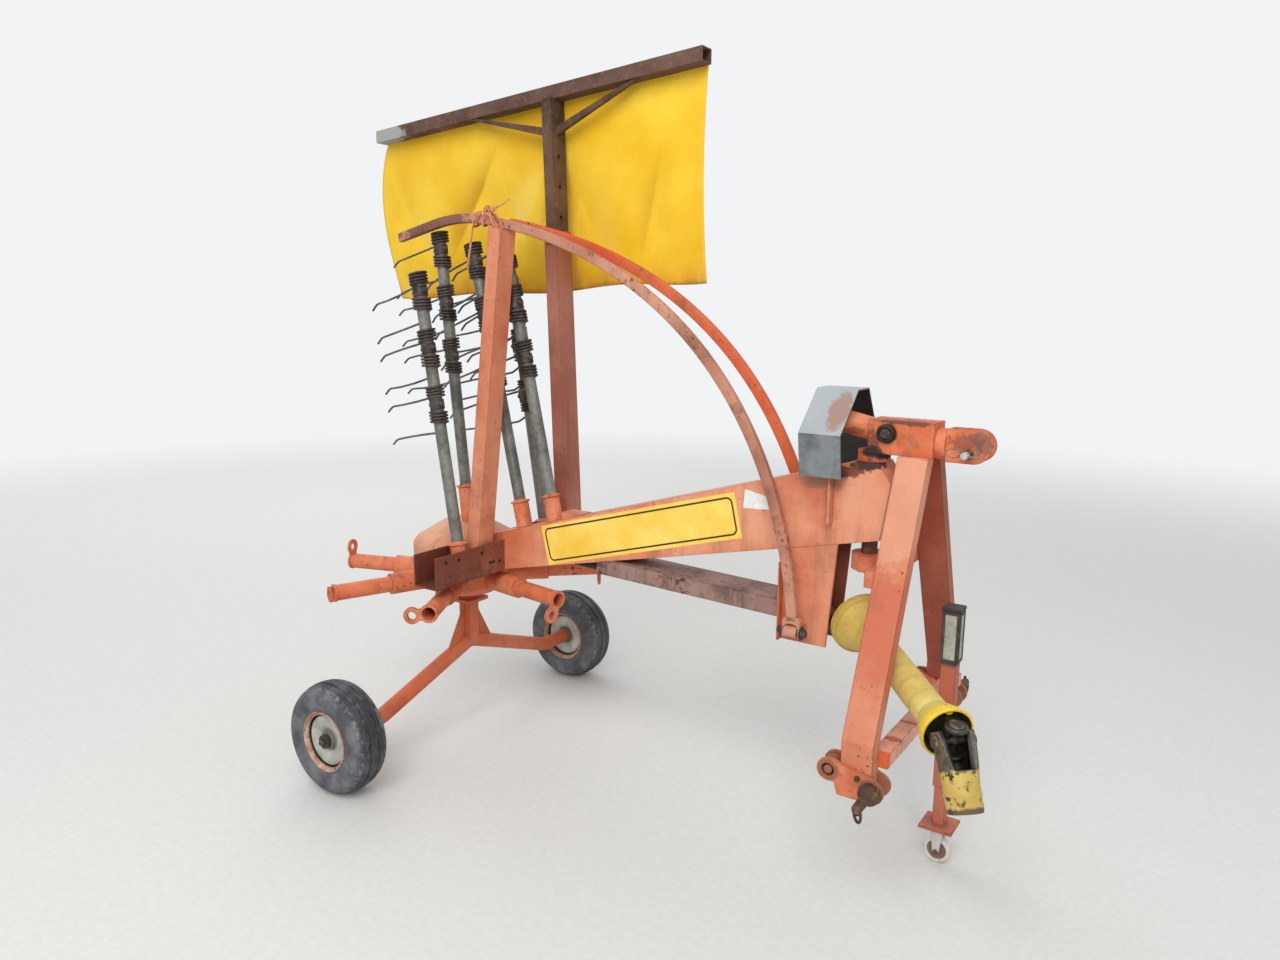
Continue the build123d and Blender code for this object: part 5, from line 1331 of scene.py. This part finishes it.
def hoopPiece(side, name, body, finish):
    # a rounded rectangular section along the curve from the foot up to the head or the tail, closed at
    # both ends, with the fork, pin and bolts at its foot
    lean = np.radians(hoops["lean"])
    up = np.array((0, -side * np.sin(lean), np.cos(lean)))
    out = np.array((0, side * np.cos(lean), np.sin(lean)))
    x, y, z = hoops["foot"]
    pin = fromRotor((x, side * y, z))
    path = (hoopPath(name) - (x, z)) / 1000
    ahead = unit(np.gradient(path, axis=0))
    normal = np.stack([ahead[:, 1], -ahead[:, 0]], -1)
    width, height = hoops["half"]
    section = roundedRectangle(2 * width, 2 * height, hoops["round"], 4)
    place = path[:, None] + normal[:, None] * section[:, 1:]
    points = pin + place[..., :1] * (1, 0, 0) + section[:, :1] * side * out + place[..., 1:] * up
    rows, count = points.shape[:2]
    faces = gridFaces(rows, count, False, True)[:, ::-1].tolist()
    faces += [list(range(count)), list(range(rows * count - 1, (rows - 1) * count - 1, -1))]
    shape = Shape()
    shape.add(points, faces)
    prism(shape, forkOutline(), pin - out * width, (-side, 0, 0), out, 2 * width, 0.0018)
    lathe(shape, hoops["pin"], pin, (1, 0, 0), 20, 1)
    for way in (-1, 1):
        boltHead(shape, pin + (way * hoops["boltOut"], 0, 0), (way, 0, 0), hoops["bolt"], 1)
    shape.make("hoop_" + name, body, [finish, "boltSteel"], 34, ["guard_hoop_" + name])


hoopPiece(-1, "right", "hoop_right", "nearHoopPaint")
hoopPiece(1, "left", "hoop_left", "farHoopPaint")
print("hoops")
for makePiece in (bellBeads, jointCaps, tractorYoke, castorFork, channelMarks, neckBolts, linchWires,
                  wornPins, footBolts, jackPanel, castorRoller, collarTab):
    makePiece()
print("headstock hardware")

# the floor fades into the background between fadeFrom and fadeTo; lamps: (place, size, power)
studio = {"floorSize": 60.0, "floorColours": ("d4d4d1", "d9d9d6"), "fadeFrom": 3.5, "fadeTo": 11.0,
          "worldColour": "f1f3f5", "lightColour": "f4f6f8", "worldStrength": 0.72, "aim": (0, 0, 0.9),
          "lamps": {"keyLight": ((2.5, -5.5, 6.0), 5.0, 420.0), "fillLight": ((-5.0, 3.0, 5.0), 6.0, 160.0)}}


def floorPiece():
    size = studio["floorSize"]
    mesh = bpy.data.meshes.new("floor")
    corners = [(-size, -size, 0), (size, -size, 0), (size, size, 0), (-size, size, 0)]
    mesh.from_pydata(corners, [], [(0, 1, 2, 3)])
    floor = bpy.data.objects.new("floor", mesh)
    scene.collection.objects.link(floor)
    f = Finish("floorFinish")
    grain = f.noise(40, 5, 0.6)
    colour = f.blend(f.step(grain, 0.3, 0.7), *(tint(shade) for shade in studio["floorColours"]))
    ground = f.node("ShaderNodeBsdfDiffuse", {}, {"Color": colour})
    glow = f.node("ShaderNodeEmission", {}, {"Color": tint(studio["worldColour"]), "Strength": 1.0})
    far = f.step(f.vector("LENGTH", f.here, (0, 0, 0), 1), studio["fadeFrom"], studio["fadeTo"])
    seen = f.node("ShaderNodeLightPath", {}, {}, "Is Camera Ray")
    mixed = f.node("ShaderNodeMixShader", {}, {0: far * seen, 1: ground, 2: glow})
    f.node("ShaderNodeOutputMaterial", {}, {"Surface": mixed})
    mesh.materials.append(f.material)


def worldLight():
    world = bpy.data.worlds.new("studio")
    world.use_nodes = True
    scene.world = world
    tree = world.node_tree
    tree.nodes.clear()
    paths = tree.nodes.new("ShaderNodeLightPath")
    lit, shown = (tree.nodes.new("ShaderNodeBackground") for _ in range(2))
    for node, shade, strength in ((lit, studio["lightColour"], studio["worldStrength"]),
                                  (shown, studio["worldColour"], 1.0)):
        node.inputs["Color"].default_value = tint(shade)
        node.inputs["Strength"].default_value = strength
    seen = Link(tree, paths.outputs["Is Camera Ray"])
    for ray in ("Is Glossy Ray", "Is Transmission Ray"):
        seen = seen.math("MAXIMUM", seen, Link(tree, paths.outputs[ray]))
    mixed = tree.nodes.new("ShaderNodeMixShader")
    tree.links.new(seen.socket, mixed.inputs[0])
    tree.links.new(lit.outputs[0], mixed.inputs[1])
    tree.links.new(shown.outputs[0], mixed.inputs[2])
    out = tree.nodes.new("ShaderNodeOutputWorld")
    tree.links.new(mixed.outputs[0], out.inputs["Surface"])


def areaLight(name, place, size, power):
    light = bpy.data.lights.new(name, "AREA")
    light.size, light.energy = size, power
    lamp = bpy.data.objects.new(name, light)
    back = unit(np.asarray(place) - studio["aim"])
    right = unit(np.cross((0, 0, 1), back))
    up = np.cross(back, right)
    lamp.matrix_world = Matrix([[right[i], up[i], back[i], place[i]] for i in range(3)] + [[0, 0, 0, 1]])
    scene.collection.objects.link(lamp)


# the photo's camera; focal length and width in its pixels
photo = {"place": (1.847935, -2.646833, 1.720110), "right": (0.827089939, 0.562012968, 0.007978516),
         "up": (-0.106489875, 0.142747123, 0.984013804), "ahead": (-0.551889608, 0.814717548, -0.177913400),
         "focal": 919.62, "width": 1280, "sensor": 36.0}


def photoCamera():
    data = bpy.data.cameras.new("photoCamera")
    data.sensor_width = photo["sensor"]
    data.lens = photo["focal"] / photo["width"] * photo["sensor"]
    data.clip_end = 200.0
    camera = bpy.data.objects.new("photoCamera", data)
    columns = [photo["right"], photo["up"], tuple(-a for a in photo["ahead"]), photo["place"]]
    camera.matrix_world = Matrix([[column[i] for column in columns] for i in range(3)] + [[0, 0, 0, 1]])
    scene.collection.objects.link(camera)
    scene.camera = camera


floorPiece()
worldLight()
for name, (place, size, power) in studio["lamps"].items():
    areaLight(name, place, size, power)
photoCamera()
scene.view_settings.view_transform = "Standard"
print("stage, lights and camera")
